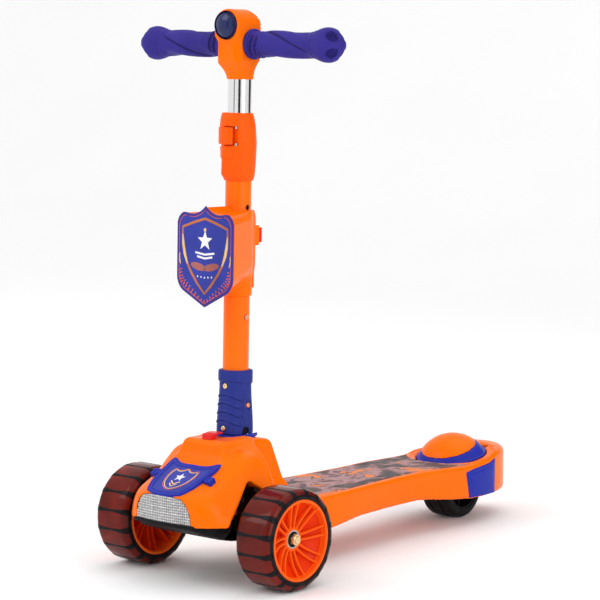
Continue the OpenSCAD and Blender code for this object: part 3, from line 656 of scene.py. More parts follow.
def front_tyre(side, suffix):
    """Red tread, dark rings beside the rim and dark bars across that widen to the sides."""
    place, body = Place(wheel_at * [side, 1, 1], facing(side)), "wheel_" + suffix
    line = tyre_line(wheel_r, wheel_w, TYRE_SHOULDER, BAR_RISE, rim_r)
    piece("tyre_tread_" + suffix, turned(line, 128), place, body, red_tyre,
          nodes=["tyre_" + suffix])
    rings = []
    for end in (-1, 1):
        edge = end * wheel_w / 2
        section = [(rim_r + 0.2, edge - end * 1.0), (rim_r + 0.2, edge), (rim_r + 4, edge),
                   (rim_r + 5.6, edge - end * 0.5), (rim_r + 6.2, edge - end * 1.4)]
        rings.append(turned(section if end > 0 else section[::-1], 128))
    line, inner = bar_line(0), bar_line(1.0)
    bars = []
    across = np.array([-1, -0.7, 0, 0.7, 1])
    sunk = np.array([0.3, 0.0, 0.0, 0.0, 0.3])[None, :, None]
    reach = np.abs(line[:, 1]) / (wheel_w / 2)
    half = 1.5 + 2.6 * reach ** 1.5
    for i in range(TYRE_BARS):
        angle = 2 * math.pi * (i + 0.5) / TYRE_BARS + across[None, :] * (half / line[:, 0])[:, None]
        shape = (len(line), 1)
        direction = np.stack([np.cos(angle), np.sin(angle)], 2)
        top, low = (np.concatenate([direction * p[:, 0].reshape(*shape, 1),
                                    np.broadcast_to(p[:, 1].reshape(*shape, 1), (*angle.shape, 1))], 2)
                    for p in (line, inner))
        top = top + (low - top) * sunk
        bars.append(slab(top, low))
    piece("tyre_bars_" + suffix, joined(*rings, *bars), place, body, tyre_bar)


def rim_dish(span):
    """Height of the web over its reach from hub to barrel, from 0 to 1."""
    return 3 + 13 * span ** 2


def rim_field(u, v, w):
    """Rim with a dished web, paired straight ribs and a hub bored for the bearings."""
    r = np.hypot(u, v)
    span = np.clip((r - 12) / 32, 0, 1)
    dish = rim_dish(span)
    barrel = frame_2d(r - (rim_r - 2), w, 2, wheel_w / 2 - 0.1, 1.3)
    web = cross(np.abs(w - dish) - 1.6, common(r - 46, 8 - r), 1)
    pitch = 2 * math.pi / RIB_PAIRS
    turn = np.mod(np.arctan2(v, u) - 0.12 * span + pitch / 2, pitch) - pitch / 2
    off = np.abs(np.abs(r * np.sin(turn)) - 2.9 - 2.4 * span) - 1.15
    ribs = crossed(0.8, off, w - 12.6 - 10 * span ** 1.7, -9 - 13 * span ** 1.7 - w)
    ribs = common(ribs, r - 45.5, 10 - r)
    hub = cross(r - hub_r, common(w - hub_out, -hub_in - w), 1.6)
    solid = fold(fold(barrel, web, 3), fold(ribs, hub, 1.8), 1.6)
    bore = either(r - 8, common(r - 11, 6.5 - np.abs(w + 1)))
    return cross(solid, -bore, 0.5)


def rim_light_and_shade_paint(p, normal):
    """Painted light and shade: the ribs and the barrel's rim take a lighter, lit copy of the orange, and
    the web a darker, shaded copy.
    """
    r = np.hypot(p[:, 0], p[:, 1])
    span = np.clip(r - 12, 0, 32) / 32
    return (p[:, 2] > 4.5 + rim_dish(span)) | (r > rim_r - 4.5)


bearing_low, bearing_high = -hub_in + 0.5, hub_out - 0.5
rim_mesh = surface(rim_field, [-rim_r, -rim_r, -wheel_w / 2], [rim_r, rim_r, wheel_w / 2], 1.15)
bearing_mesh = joined(
    turned([(9, bearing_high - 7), (9, bearing_high - 0.5), (9.3, bearing_high), (10.7, bearing_high),
            (11, bearing_high - 0.4), (11, bearing_high - 7)], 64),
    turned([(4.1, bearing_low), (4.1, bearing_high - 0.2), (6.2, bearing_high - 0.2),
            (6.3, bearing_high - 1), (6.3, bearing_low)], 64),
    turned([(9, bearing_low), (11, bearing_low), (11, bearing_low + 7), (9, bearing_low + 7)][::-1], 64))
seal_mesh = turned([(6.2, bearing_high - 1.6), (6.2, bearing_high - 1.0), (9.1, bearing_high - 1.0),
                    (9.1, bearing_high - 1.6)], 64)


def nut_field(u, v, w):
    """Domed axle nut with a hexagonal socket."""
    r = np.hypot(u, v)
    dome = cross(r - 5.6, np.sqrt(r ** 2 + (w - 13.5) ** 2) - 7.2, 0.8)
    turn = np.mod(np.arctan2(v, u), math.pi / 3) - math.pi / 6
    socket = common(r * np.cos(turn) - 2.2, 17.8 - w)
    return cross(common(dome, 14.4 - w), -socket, 0.4)


nut_mesh = surface(nut_field, [-9, -9, 14], [9, 9, 22], 0.4)
for side, suffix in SIDES:
    place, body = Place(wheel_at * [side, 1, 1], facing(side)), "wheel_" + suffix
    front_tyre(side, suffix)
    # Painted shade on the rim's web and painted highlight on its ribs and barrel rim.
    piece("rim_dish_" + suffix, rim_mesh, place, body, [rim_web_shaded, rib_lit],
          paint=rim_light_and_shade_paint, nodes=["rim_" + suffix])
    piece("wheel_bearing_" + suffix, bearing_mesh, place, body, steel,
          nodes=["bearings_" + suffix])
    piece("bearing_seal_" + suffix, seal_mesh, place, body, bushing)
    piece("axle_nut_" + suffix, nut_mesh, place, "steer_" + suffix, brass)

# Two grooves run round the rear tyre.
groove = [(rear_r - 0.3, -9.5), (rear_r - 1.8, -9), (rear_r - 1.8, -7.5), (rear_r - 0.1, -7)]
line = tyre_line(rear_r, rear_w, 7, 0, 29)
grooves = groove + [(r, -z) for r, z in groove[::-1]]
half = len(line) // 2
piece("rear_tread", turned(line[:half] + grooves + line[half:], 128), Place(rear_at, facing(1)),
      "wheel_rear", black_tyre, nodes=["rear_tyre"])


# ---------------------------- deck

deck_high = node_box("deck_shell")[1]
TAIL_W, TAIL_FROM = 60, 440
tail_end = deck_high[1] - axle_y
WELL = (416, 512)
RIBS = (160, 220, 280, 340, 396)
deck_top = line_through([(100, 82.5), (340, 82.5), (420, 79), (440, 79.5), (470, 83.5), (515, 91),
                         (540, 92), (560, 89.5)], 8)
deck_bottom = line_through([(100, 40), (150, 40), (205, 46), (330, 46.5), (385, 39), (430, 34),
                            (490, 33), (530, 31.5), (560, 34)], 10)


def deck_half_w(y):
    """Half width of the deck: it narrows from the front, then swells to the round tail."""
    return np.where(y < 300, 62 - 8 * ramp(y, 140, 300), 54 + (TAIL_W - 54) * ramp(y, 310, 430))


def deck_side(x, y):
    """Distance outside the deck's outline."""
    w = deck_half_w(y)
    return (np.hypot(x / w, np.maximum(0, y - TAIL_FROM) / (tail_end - TAIL_FROM)) - 1) * w


def dome_frame(x, y, z):
    """Coordinates in the tilted frame of the brake dome."""
    c, s = math.cos(math.radians(DOME_TILT)), math.sin(math.radians(DOME_TILT))
    ahead, up = y - DOME_Y, z - DOME_Z
    return x, ahead * c + up * s, up * c - ahead * s


def deck_field(x, y, z):
    """Hollow deck with ribs below, a well for the rear wheel, the dome's dish and its bead ring."""
    top, side = z - deck_top(y), deck_side(x, y)
    body = cross(cross(side, top, 5 + 7 * ramp(y, 490, 535)), deck_bottom(y) - z, 7)
    body = common(body, 100 - y)
    ribs = either(*[np.abs(y - at) - 1.5 for at in RIBS])
    ribs = either(ribs, common(np.abs(x) - 1.5, y - WELL[0]))
    walls = common(np.abs(np.abs(x) - 27) - 2, WELL[0] - 4 - y, y - WELL[1] - 4)
    ends = common(np.abs(x) - 29, either(np.abs(y - WELL[0] + 2), np.abs(y - WELL[1] - 2)) - 2)
    seat = common(np.hypot(x, y - DOME_Y) - 53, 66 - z)
    keep = either(ribs, walls, ends, seat)
    pocket = common(side + 4, top + 4.5, 104 - y)
    body = cross(body, -common(pocket, -keep), 1)
    well = common(np.abs(x) - 25, np.abs(y - sum(WELL) / 2) - (WELL[1] - WELL[0]) / 2)
    hole = common(np.hypot(x, y - DOME_Y) - 46.5, 62 - z)
    body = common(body, -either(well, hole))
    u, v, w = dome_frame(x, y, z)
    reach = np.hypot(u, v)
    dish = common((reach - 39.5 - (w + 4) * 1.957) / 2.2, -4 - w)
    body = cross(body, -dish, 1.5)
    bead = crossed(1, body - 1.3, np.abs(reach - 57) - 1.8, side + 3, -3 - w)
    return fold(body, bead, 1.5)


piece("deck_moulding", surface(deck_field, [-62, 100, 31], [62, tail_end, 93], 1.9), DECK, "deck",
      orange, nodes=["deck_shell"])


def panel_field(x, y, z):
    """Blue side panels of the tail, each a plate with a raised field."""
    outline = outline_2d(y, z, [(424, 37), (484, 35), (485, 81), (470, 77), (432, 74), (417, 71)])
    side = deck_side(x, y)
    plate = crossed(1.6, np.abs(side + 0.4) - 1.6, outline)
    ledge = crossed(1.2, np.abs(side - 0.5) - 1.2, outline + 6)
    return fold(plate, ledge, 1.2)


piece("tail_side_panels", surface(panel_field, [-63, 416, 34], [63, 487, 82], 1.1), DECK, "deck",
      blue, nodes=["tail_panels"])


def grip_sheet():
    """Printed sheet with two tails that run on beside the dome."""
    inset, rise, clear = 8, 1.0, 58
    start, end = 106, 437
    ys = np.concatenate([np.linspace(start, 400, 99), np.linspace(402, end, 24)])
    halves = []
    for side in (-1, 1):
        t = np.linspace(0, 1, 24)[None, :]
        near = np.sqrt(np.maximum(0, clear ** 2 - (ys - DOME_Y) ** 2))[:, None]
        far = (deck_half_w(ys) - inset)[:, None]
        x = near + (np.maximum(far, near + 0.4) - near) * t
        y = np.broadcast_to(ys[:, None], x.shape)
        z = deck_top(y)
        edge = np.minimum(1, np.minimum(far - x, y - start) / 1.2)
        top = np.stack([x * side, y, z + rise * np.sqrt(np.clip(edge, 0.05, 1))], 2)
        low = np.stack([x * side, y, z - 0.8], 2)
        halves.append(slab(top, low) if side < 0 else slab(top[:, ::-1], low[:, ::-1]))
    return joined(*halves)


piece("deck_print_sheet", grip_sheet(), DECK, "deck", sheet_print, nodes=["grip_sheet"])


# ---------------------------- foot brake

DOME_R, DOME_RISE, SKIN = 50, 28, 2.6
HINGE = (-49, -2.5)


def band_edge(y):
    """Height of the joint between the cap and the skirt: it climbs towards the rear."""
    return 12 + 0.12 * y


def dome_shell(x, y, w):
    return np.abs(np.sqrt(x ** 2 + y ** 2 + (w - DOME_RISE + DOME_R) ** 2) - DOME_R + SKIN / 2) - SKIN / 2


def cap_field(x, y, w):
    """Orange cap, with a fine gap to the skirt."""
    return crossed(0.8, dome_shell(x, y, w), band_edge(y) + 0.4 - w)


piece("brake_dome_cap", surface(cap_field, [-47, -47, 2], [47, 47, DOME_RISE], 1.1), DOME, "brake",
      orange, nodes=["brake_dome"])


def band_field(x, y, w):
    """Blue skirt of the dome with its hinge lugs."""
    hinge = np.hypot(y - HINGE[0], w - HINGE[1])
    shell = crossed(0.8, dome_shell(x, y, w), w - band_edge(y), -1 - w)
    foot = crossed(0.8, np.hypot(x, y) - 46.0, 43.2 - np.hypot(x, y), np.abs(w - 0.4) - 1.4)
    lugs = common(np.abs(np.abs(x) - 8) - 2.5, np.abs(y + 45.5) - 4.2, np.abs(w + 2.2) - 2.8)
    eyes = common(hinge - 3.5, np.abs(np.abs(x) - 8) - 2.5)
    part = fold(fold(shell, foot, 1.0), fold(lugs, eyes, 2.0), 0.6)
    return common(part, 1.55 - hinge)


piece("brake_skirt", surface(band_field, [-47, -53, -6], [47, 47, 18], 1.0), DOME, "brake",
      blue, nodes=["brake_band"])


# ---------------------------- front housing

HOUSING_LOW, HOUSING_TOP, HOUSING_END = 75, 164, 100
NOSE_Y, NOSE_R = -89.5, 222
BONNET = (-84, 110)
BONNET_SLOPE = math.atan2(29.5, 62)
PIVOT_Y, PIVOT_Z = pivot[1] - axle_y, pivot[2]
CHANNEL_HX, CHANNEL_R = 19.2, 24
SHELL = 3


def plane(a, b, at, normal):
    """Distance past a plane drawn in two coordinates."""
    n = np.array(normal, float)
    n /= np.linalg.norm(n)
    return (a - at[0]) * n[0] + (b - at[1]) * n[1]


def lens_outline(grow=0.0):
    """Outline of the lens, grown about its middle."""
    right = [(43.5, 77), (42.8, 86), (40, 95), (35.5, 102), (29, 106.6), (15, 108.4), (0, 108.8)]
    middle = np.array([0, 92])
    points = right + [(-u, v) for u, v in right[-2::-1]]
    return [tuple(middle + (np.array(p) - middle) * (1 + grow / 35)) for p in points]


def fold_channel(x, y, z):
    """Room behind the pivot that the sleeve swings through."""
    swing = common(np.hypot(y - PIVOT_Y, z - PIVOT_Z) - CHANNEL_R, PIVOT_Y - 4.6 - y)
    slot = common(PIVOT_Y - y, PIVOT_Z - CHANNEL_R - z)
    return common(np.abs(x) - CHANNEL_HX, either(swing, slot))


def past_nose(x, y):
    """Distance in front of the nose's round face."""
    return np.hypot(x, y - NOSE_Y - NOSE_R) - NOSE_R


def housing_body(x, y, z):
    """Outside of the housing: bonnet, tower round the column, rear skirt and flared wheel arches."""
    ax = np.abs(x)
    lift = (z - BONNET[1]) * math.cos(BONNET_SLOPE) - (y - BONNET[0]) * math.sin(BONNET_SLOPE)
    shoulder = 0.50 * (ax - 45) + 0.866 * lift
    flank = 0.90 * (ax - 62) + 0.43 * (lift + 13)
    corner = plane(ax, y, (47, -84), (0.577, -0.817))
    bonnet = crossed(13, lift, shoulder, flank, corner, y - 30)
    bonnet = cross(bonnet, past_nose(x, y), 4)
    tower = crossed(6, z - HOUSING_TOP, plane(y, z, (-22, 139.5), (-0.975, 0.22)),
                    plane(ax, z, (33, 160), (0.958, 0.287)), plane(y, z, (44, 164), (0.24, 0.971)),
                    plane(y, z, (68, 158), (0.99, 0.14)))
    skirt = crossed(6, plane(y, z, (78, 104), (0.66, 0.75)), plane(ax, z, (51, 100), (0.958, 0.287)),
                    25 - y, z - 108)
    top_l, front_l, rear_l = (42, 3, 131), (70.5, -50, 70), (70.5, 54, 70)
    arch = fold(bar(ax, y, z, top_l, front_l, 21, 11), bar(ax, y, z, top_l, rear_l, 21, 11), 6)
    fill = outline_2d(y, z, [(-54, 66), (-6, 140), (14, 140), (56, 66)])
    fill = crossed(12, fill - 3, ax - 61 - 0.40 * (124 - z), 20 - ax)
    hump = (np.sqrt(((ax - 46) / 21) ** 2 + ((y - 3) / 38) ** 2 + ((z - 117) / 27) ** 2) - 1) * 24
    flare = fold(fold(arch, fill, 5), hump, 7)
    body = fold(fold(fold(bonnet, tower, 12), skirt, 8), flare, 5)
    body = common(body, y - HOUSING_END)
    arch_pts = [(-60, 60), (-57, 75)] + arc((-10, 116), 6, 155, 34, 8) + [(61, 75), (61, 60)]
    opening = common(outline_2d(y, z, arch_pts), 34 - ax)
    body = cross(body, -opening, 1.4)
    return cross(body, -fold_channel(x, y, z), 1)


def housing_field(x, y, z):
    """Shell of the housing with its openings for the light, the bumper, the latch and the flange."""
    body = housing_body(x, y, z)
    shell = common(body, -body - SHELL)
    seat = common(np.abs(body + 2) - 2, np.hypot(x, y - PIVOT_Y) - 34)
    shell = either(shell, common(seat, 150 - z))
    light = common(outline_2d(x, z, lens_outline()), y + 76)
    shell = cross(shell, -light, 1.2)
    strip = common(np.abs(x) - 48.3, z - 77.2, y + 83)
    shell = common(shell, -strip)
    lug = common(np.abs(x) - 9.6, np.abs(y - PIVOT_Y) - 14.2)
    latch = common(np.abs(x) - 8.1, -11.2 - y, y - 0.8)
    shell = common(shell, -common(either(lug, latch), 120 - z))
    flange = common(np.hypot(x, y - PIVOT_Y) - 26.3, HOUSING_TOP - 2.2 - z)
    return common(shell, -flange, HOUSING_LOW - z)


def housing_shade_paint(p, normal):
    """Painted shade: faces inside the shell are coloured near black, where shade falls inside the housing.
    """
    return housing_body(*(p + normal * 1.2).T) < -0.9


piece("housing_moulding", surface(housing_field, [-82, -91, 75], [82, 101, 165], 1.6), DECK, "deck",
      [orange, inside_painted_shade], paint=housing_shade_paint, nodes=["front_housing"])


def lens_bars(x, z):
    """1 on the lens's raised mesh of fine bars, falling to 0 in its cells."""
    return np.maximum(np.abs(np.sin(math.pi * x / 2.9)) ** 5, np.abs(np.sin(math.pi * z / 3.1)) ** 5)


def lens_solid(x, y, z):
    rho = past_nose(x, y)
    skin = common(rho + 2.0 - 1.1 * lens_bars(x, z), -4.6 - rho)
    return cross(common(outline_2d(x, z, lens_outline(-0.6)), 77.1 - z), skin, 0.5)


piece("headlight_cover", surface(lens_solid, [-44, -90, 76], [44, -78, 110], 0.7), DECK, "deck",
      [lens, lens_cell], nodes=["headlight_lens"],
      paint=lambda p, normal: (lens_bars(p[:, 0], p[:, 2]) < 0.25) & (normal[:, 1] < -0.3))


def strip_field(x, y, z):
    return crossed(1.2, np.abs(past_nose(x, y) + 2) - 2, np.abs(z - HOUSING_LOW) - 2, np.abs(x) - 48)


piece("bumper_moulding", surface(strip_field, [-49, -91, 72], [49, -76, 78], 0.8), DECK, "deck",
      black, nodes=["bumper_strip"])


def tray_body(x, y, z, inset):
    """Solid form of the underside tray, shrunk by inset."""
    ax = np.abs(x)
    plan = outline_2d(ax, y, [(-10, -83.5), (40, -83.5), (62, -60), (66, -30), (66, 34), (54, 60),
                              (50, 100), (-10, 100)])
    keel = line_through([(-92, 77), (-84, 72), (-66, 64), (-42, 55), (-12, 47.5), (10, 46), (62, 46),
                         (102, 48.5)], 8)
    bilge = plane(ax, z, (66, 71), (0.763, -0.646))
    return crossed(5, plan + inset, keel(y) - z + inset, bilge + inset)


def tray_field(x, y, z):
    """Shell of the tray, open beside the steering and stiffened by ribs."""
    shell = common(tray_body(x, y, z, 0), -tray_body(x, y, z, SHELL))
    side = common(40 - np.abs(x), np.abs(y) - 36, 49 - z)
    shell = common(shell, -side, z - HOUSING_LOW)
    ribs = either(np.abs(x) - 1.2, np.abs(np.abs(y - 5) - 46) - 1.2)
    floor = common(tray_body(x, y, z, 1), z - 58)
    floor = common(floor, ribs, 20 - np.abs(y))
    return common(either(shell, floor), y - 100)


piece("underside_tray", surface(tray_field, [-67, -85, 45], [67, 101, 76], 1.7), DECK, "deck",
      black, nodes=["base_tray"])

bonnet_place = Place([0, axle_y + BONNET[0], BONNET[1]], turn_x(math.degrees(BONNET_SLOPE)))
bonnet_half = [(0, 58), (10, 57.6), (20, 58.6), (27, 61.5), (32, 65.5), (37.5, 66), (38, 60), (37.4, 50),
               (36.5, 36), (33.5, 18), (29.5, 7), (26, 0.5), (14, -3.5), (0, -4.5)]
bonnet_outline = both_sides(bonnet_half)


def bonnet_field(u, v, w):
    """Shield plate on the bonnet, with a raised rim and two square clips."""
    edge = outline_2d(u, v, bonnet_outline)
    plate = crossed(1.0, edge, w - 2.6, -3.5 - w)
    field = crossed(1.0, edge + 6.5, 1.3 - w)
    step = crossed(0.6, edge + 2.2, 2.15 - w, -(edge + 4.4))
    plate = cross(cross(plate, -field, 0.8), -step, 0.4)
    clips = block(np.abs(u), v, w, (42.5, 36, -2.4), (5.2, 5.2, 4.6), 1)
    notch = block(np.abs(u), v, w, (42.5, 36, 2.4), (1.8, 3.0, 1.0), 0.3)
    return either(plate, cross(clips, -notch, 0.4))


def bonnet_paint(p, normal):
    return (outline_2d(p[:, 0], p[:, 1], bonnet_outline) < -6.6) & (p[:, 2] > 0)


piece("bonnet_plate", surface(bonnet_field, [-49, -6, -7.5], [49, 67, 3], 0.85), bonnet_place, "deck",
      [blue, plate_blue], paint=bonnet_paint, nodes=["bonnet_shield"])


def smooth_path(points, n=8, closed=True):
    """Catmull-Rom curve through the points."""
    p = np.array(points, float)
    count = len(p)
    out = []
    for i in range(count if closed else count - 1):
        if closed:
            a, b, c, d = (p[(i + k) % count] for k in (-1, 0, 1, 2))
        else:
            a, b, c, d = (p[min(max(i + k, 0), count - 1)] for k in (-1, 0, 1, 2))
        for t in np.arange(n) / n:
            out.append(0.5 * (2 * b + (c - a) * t + (2 * a - 5 * b + 4 * c - d) * t ** 2
                              + (3 * b - a - 3 * c + d) * t ** 3))
    return out if closed else out + [p[-1]]


def shield_line(w, top, tip, scale=1.0):
    """Heraldic shield outline of half width w between the heights tip and top."""
    h = top - tip
    half = [(0, 1.0), (0.30, 0.90), (0.62, 0.88), (0.86, 0.94), (1.0, 0.80), (0.97, 0.55),
            (0.80, 0.30), (0.45, 0.10), (0, 0)]
    mid = tip + h * 0.55
    return [(u * w * scale, mid + (tip + v * h - mid) * scale) for u, v in both_sides(half)]


RISE = 0.22


def print_on(name, face, place, body, material, *marks):
    """Raised print on a flat face of a blue plate."""
    piece(name, laid(joined(*marks), *face), place, body, material)


def chevron(half, at, drop, half_width):
    """V-shaped bar with its low point at the height at."""
    return ribbon([(-half, at + drop), (0, at), (half, at + drop)], half_width, RISE)


def on_bonnet(name, material, *marks):
    print_on(name, ([0, 0, 1.3], [1, 0, 0], [0, 1, 0]), bonnet_place, "deck", material, *marks)


on_bonnet("bonnet_print_gold", gold_print,
          ribbon(smooth_path(shield_line(18.5, 48, 9)), 0.55, RISE, closed=True),
          chevron(7, 18.5, 5.5, 0.8), chevron(5.4, 13.5, 5.5, 0.8))
on_bonnet("bonnet_print_orange", orange_print,
          ribbon(smooth_path(shield_line(18.5, 48, 9, 1.1)), 0.4, RISE, closed=True))
on_bonnet("bonnet_print_star", pale_print, badge(star((0, 32), 7.6), RISE + 0.1))


def flange_field(x, y, z):
    """Blue flange round the pivot, open to the rear where the sleeve swings."""
    yy = y - PIVOT_Y
    plate = disc(x, yy, z, 26, 162, 165.2, 1.0)
    collar = common(frame_2d(x, yy, 21.5, 23.5, 11), np.abs(z - 164.4) - 1.6)
    plate = fold(plate, collar, 1.0)
    plate = common(plate, -fold_channel(x, y, z))
    room = common(np.abs(x) - 9.6, np.abs(yy) - 14.2)
    inner = frame_2d(x, yy, 18.6, 21.4, 10)
    return common(plate, -room, -common(inner, 164.9 - z))


piece("flange_moulding", surface(flange_field, [-27, 12, 161], [27, 66, 167], 0.9), DECK, "deck",
      blue, nodes=["column_flange"])


def release_field(x, y, z):
    """Red fold release: a thumb block with ridges and its thin slide plate."""
    lever = block(x, y, z, (0, -5.2, 163), (7.5, 5.4, 7.6), 1.6)
    ridge = either(*[np.hypot(z - 170.0, y + at) - 0.9 for at in (2.5, 5, 7.5)])
    lever = cross(lever, -common(ridge, np.abs(x) - 5.5), 0.4)
    plate = block(x, y, z, (0, 5, 169.6), (6.5, 6.5, 1.0), 0.6)
    return fold(lever, plate, 0.8)


piece("release_thumb_block", surface(release_field, [-10, -14, 155], [10, 18, 174], 0.7), DECK,
      "release", red, nodes=["fold_release"])


# ---------------------------- column

TUBE_R = 15.5
SLEEVE_HX, SLEEVE_HY, SLEEVE_TOP = 18, 20.5, 73
SCREWS = (3.5, 54)


def sleeve_slim(h):
    """How far the sleeve has drawn in at a height, from 0 to 1."""
    return ramp(h, 0, 56)


def sleeve_half_y(h):
    return SLEEVE_HY - 2.3 * sleeve_slim(h)


def screw_y(h):
    """How far in front of the column's axis the seat of a sleeve screw lies."""
    return sleeve_half_y(h) - 0.9


def sleeve_field(x, y, h):
    """Blue folding sleeve: flat sides, ribbed front and a collar with a sloping lower edge."""
    slim = sleeve_slim(h)
    half_x = SLEEVE_HX - slim
    body = cross(frame_2d(x, y, half_x, sleeve_half_y(h), 13 + slim), common(-3.4 - h, h - 64), 1.2)
    for at in (13, 23, 33, 43):
        sag = h - at + 0.02 * x ** 2
        rib = crossed(0.5, np.abs(sag - 1.5) - 0.9, body - 0.7, y + 4)
        body = cross(fold(body, rib, 1.2), -common(np.abs(sag) - 0.7, -0.8 - body, y + 4), 0.6)
    for at in (-8, 9):
        curve = np.hypot(np.abs(x) - half_x - 0.4, y - at - 3.5 * np.sin((h - 12) / 14)) - 1.3
        body = cross(body, -common(curve, np.abs(h - 30) - 22), 0.5)
    lower = 59.5 - 0.1 * (y + SLEEVE_HY)
    collar = frame_2d(x, y, SLEEVE_HX + 0.5, SLEEVE_HY - 0.7, 15.6)
    collar = crossed(2.4, collar, lower - h, h - SLEEVE_TOP)
    body = fold(body, collar, 0.6)
    body = cross(body, -(np.hypot(x, y) - TUBE_R - np.maximum(0, h - 71.5) * 0.5), 0.5)
    slot = common(np.abs(x) - 9.4, h - 13, -12.5 - y)
    bolt = np.hypot(y, h)
    eye = np.where(np.abs(x) > 12.6, bolt - 5.9, bolt - 4.1)
    recess = common(np.hypot(y - 5, h - 31) - 5.2, 15.9 - x)
    pads = either(*[crossed(0.3, np.hypot(x, h - at) - 4.0, y + screw_y(at) - 0.2)
                    for at in SCREWS])
    body = cross(body, -either(eye, recess, pads), 0.5)
    return common(body, -slot)


piece("sleeve_moulding", surface(sleeve_field, [-19, -22, -4], [19, 22, 73], 0.9), COLUMN, "column",
      sleeve_blue, nodes=["fold_sleeve"])


def pan_head(r, rise):
    """Screw head with a cross recess, seat on w = 0."""
    slot_depth = 0.8

    def field(u, v, w):
        crown = np.sqrt(u ** 2 + v ** 2 + (w + 2.2 * r - rise) ** 2) - 2.2 * r
        head = cross(np.hypot(u, v) - r, crown, 0.4)
        bars = either(common(np.abs(u) - 0.45, np.abs(v) - 0.6 * r),
                      common(np.abs(v) - 0.45, np.abs(u) - 0.6 * r))
        head = common(head, -0.8 - w)
        return cross(head, -common(bars, rise - slot_depth - w), 0.2)

    return surface(field, [-r, -r, -1], [r, r, rise], 0.3)


screw = joined(pan_head(3.3, 1.9), rod(1.8, -3.2, -0.6))
piece("sleeve_screw_heads",
      joined(*[laid(screw, [0, -screw_y(at), at], [1, 0, 0], [0, 0, 1]) for at in SCREWS]),
      COLUMN, "column", brass, nodes=["sleeve_screws"])
piece("sleeve_side_screw", laid(pan_head(2.9, 1.5), [16.3, 5, 31], [0, 1, 0], [0, 0, 1]), COLUMN,
      "column", copper)
# Black discs in the sleeve's pivot eyes are painted shade: they make the eyes read as dark holes.
pivot_shade_disc = turned([(0.01, 15.3), (5.7, 15.3), (5.7, 15.9), (5.3, 16.2), (0.01, 16.2)][::-1], 48)
piece("pivot_eye_painted_shade", joined(*[laid(pivot_shade_disc, [0, 0, 0], [0, s, 0], [0, 0, 1]) for s in (1, -1)]),
      Place(pivot), "deck", black)


def tube_hole_shade_field(x, y, h):
    """Painted shade: a black patch on the inner tube, seen through the upper hole of the outer one, that
    makes the hole read dark.
    """
    return crossed(0.1, np.abs(np.hypot(x, y) - 13.75) - 0.28, np.hypot(y, h - 266) - 3.4, -x)


piece("tube_hole_painted_shade", surface(tube_hole_shade_field, [12, -4, 262], [14.5, 4, 270], 0.25), COLUMN,
      "handlebar", black)

# Clamp barrel round the top of the orange tube. Its lever hangs on a pin at CLAMP_MID.
CLAMP_LOW, CLAMP_MID, CLAMP_HIGH = 297, 350, 377
PIN = (4, -20.2)
BRIGHT_END = (10.4, -16.9)
LEVER_HALF = 10
clamp_r = line_through([(CLAMP_LOW, 17.0), (303, 19.0), (318, 20.2), (336, 20.8), (343, 21.3),
                        (362, 21.3), (372, 19.8), (CLAMP_HIGH, 18.2)], 2)


def clamp_field(x, y, h):
    """Barrel that leans a little at the top, with a step, a ridge and the lever's pocket."""
    r = np.hypot(x, y)
    lean = 2.3 * ramp(h, 330, CLAMP_HIGH)
    outside = np.hypot(x + 0.756 * lean, y + 0.655 * lean) - clamp_r(h)
    body = crossed(1.4, outside, CLAMP_LOW - h, h - CLAMP_HIGH)
    step = crossed(0.8, outside - 1.5, np.abs(h - 330.5) - 6.5, x + 0.5 * y + 2)
    body = fold(body, step, 1.6)
    ridge = bar(x, y, h, (-9, -15.5, 306), (-3, -18.2, 334), 3.0, 4.4)
    body = fold(body, common(ridge, r - 22.2), 5)
    bore = np.where(h < 331, r - TUBE_R, r - 14.3)
    body = common(body, -bore)
    pocket = block(x, y, h, (4.6, -24, CLAMP_MID), (8.4, 8.8, 11.4), 0.8)
    pin = np.hypot(x - PIN[0], y - PIN[1]) - 1.7
    return cross(body, -either(pocket, common(pin, np.abs(h - CLAMP_MID) - 10.4)), 0.5)


piece("clamp_barrel", surface(clamp_field, [-23, -23, 296], [23, 23, 378], 0.9), COLUMN, "column",
      clamp_orange, nodes=["clamp_collar"])


def lever_field(x, y, h):
    """Clamp lever: a curved finger blade hung on the pin."""
    r, turn = np.hypot(x, y), np.degrees(np.arctan2(y, x))
    to_pin, past_end = np.hypot(x - PIN[0], y - PIN[1]), np.abs(h - CLAMP_MID) - LEVER_HALF
    blade = crossed(1.0, np.abs(r - 22.9) - 1.45, past_end, y - 0.2 * x - 4, x - 1.5)
    tip = block(x, y, h, (-23.2, 1.5, CLAMP_MID), (1.5, 3.4, 9.6), 1.2)
    eye = common(to_pin - 3.4, past_end)
    web = common(np.abs(x - 1.6) - 3.2, np.abs(y + 23) - 2.4, past_end)
    grooves = either(*[np.hypot(r - 24.5, (turn + at) * 0.42) - 0.7 for at in (150, 156, 162, 168)])
    lever = fold(fold(blade, tip, 1), fold(eye, web, 1), 1)
    lever = cross(lever, -common(grooves, past_end + 2.5), 0.3)
    return common(lever, 1.65 - to_pin)


pin_rod, pin_end = rod(1.5, CLAMP_MID - 9.5, CLAMP_MID + 9.5), rod(1.6, -1.4, 1.4)
piece("clamp_pin_rod", joined((pin_rod[0] + [*PIN, 0], pin_rod[1]),
                              *[(pin_end[0] + [*BRIGHT_END, CLAMP_MID + at], pin_end[1])
                                for at in (-9.8, 9.8)]),
      COLUMN, "column", steel, nodes=["clamp_pin"])

piece("clamp_finger_lever", surface(lever_field, [-27, -27, 339], [9, 6, 361], 0.7), COLUMN, "lever",
      clamp_orange, nodes=["clamp_lever"])


# ---------------------------- stem shield

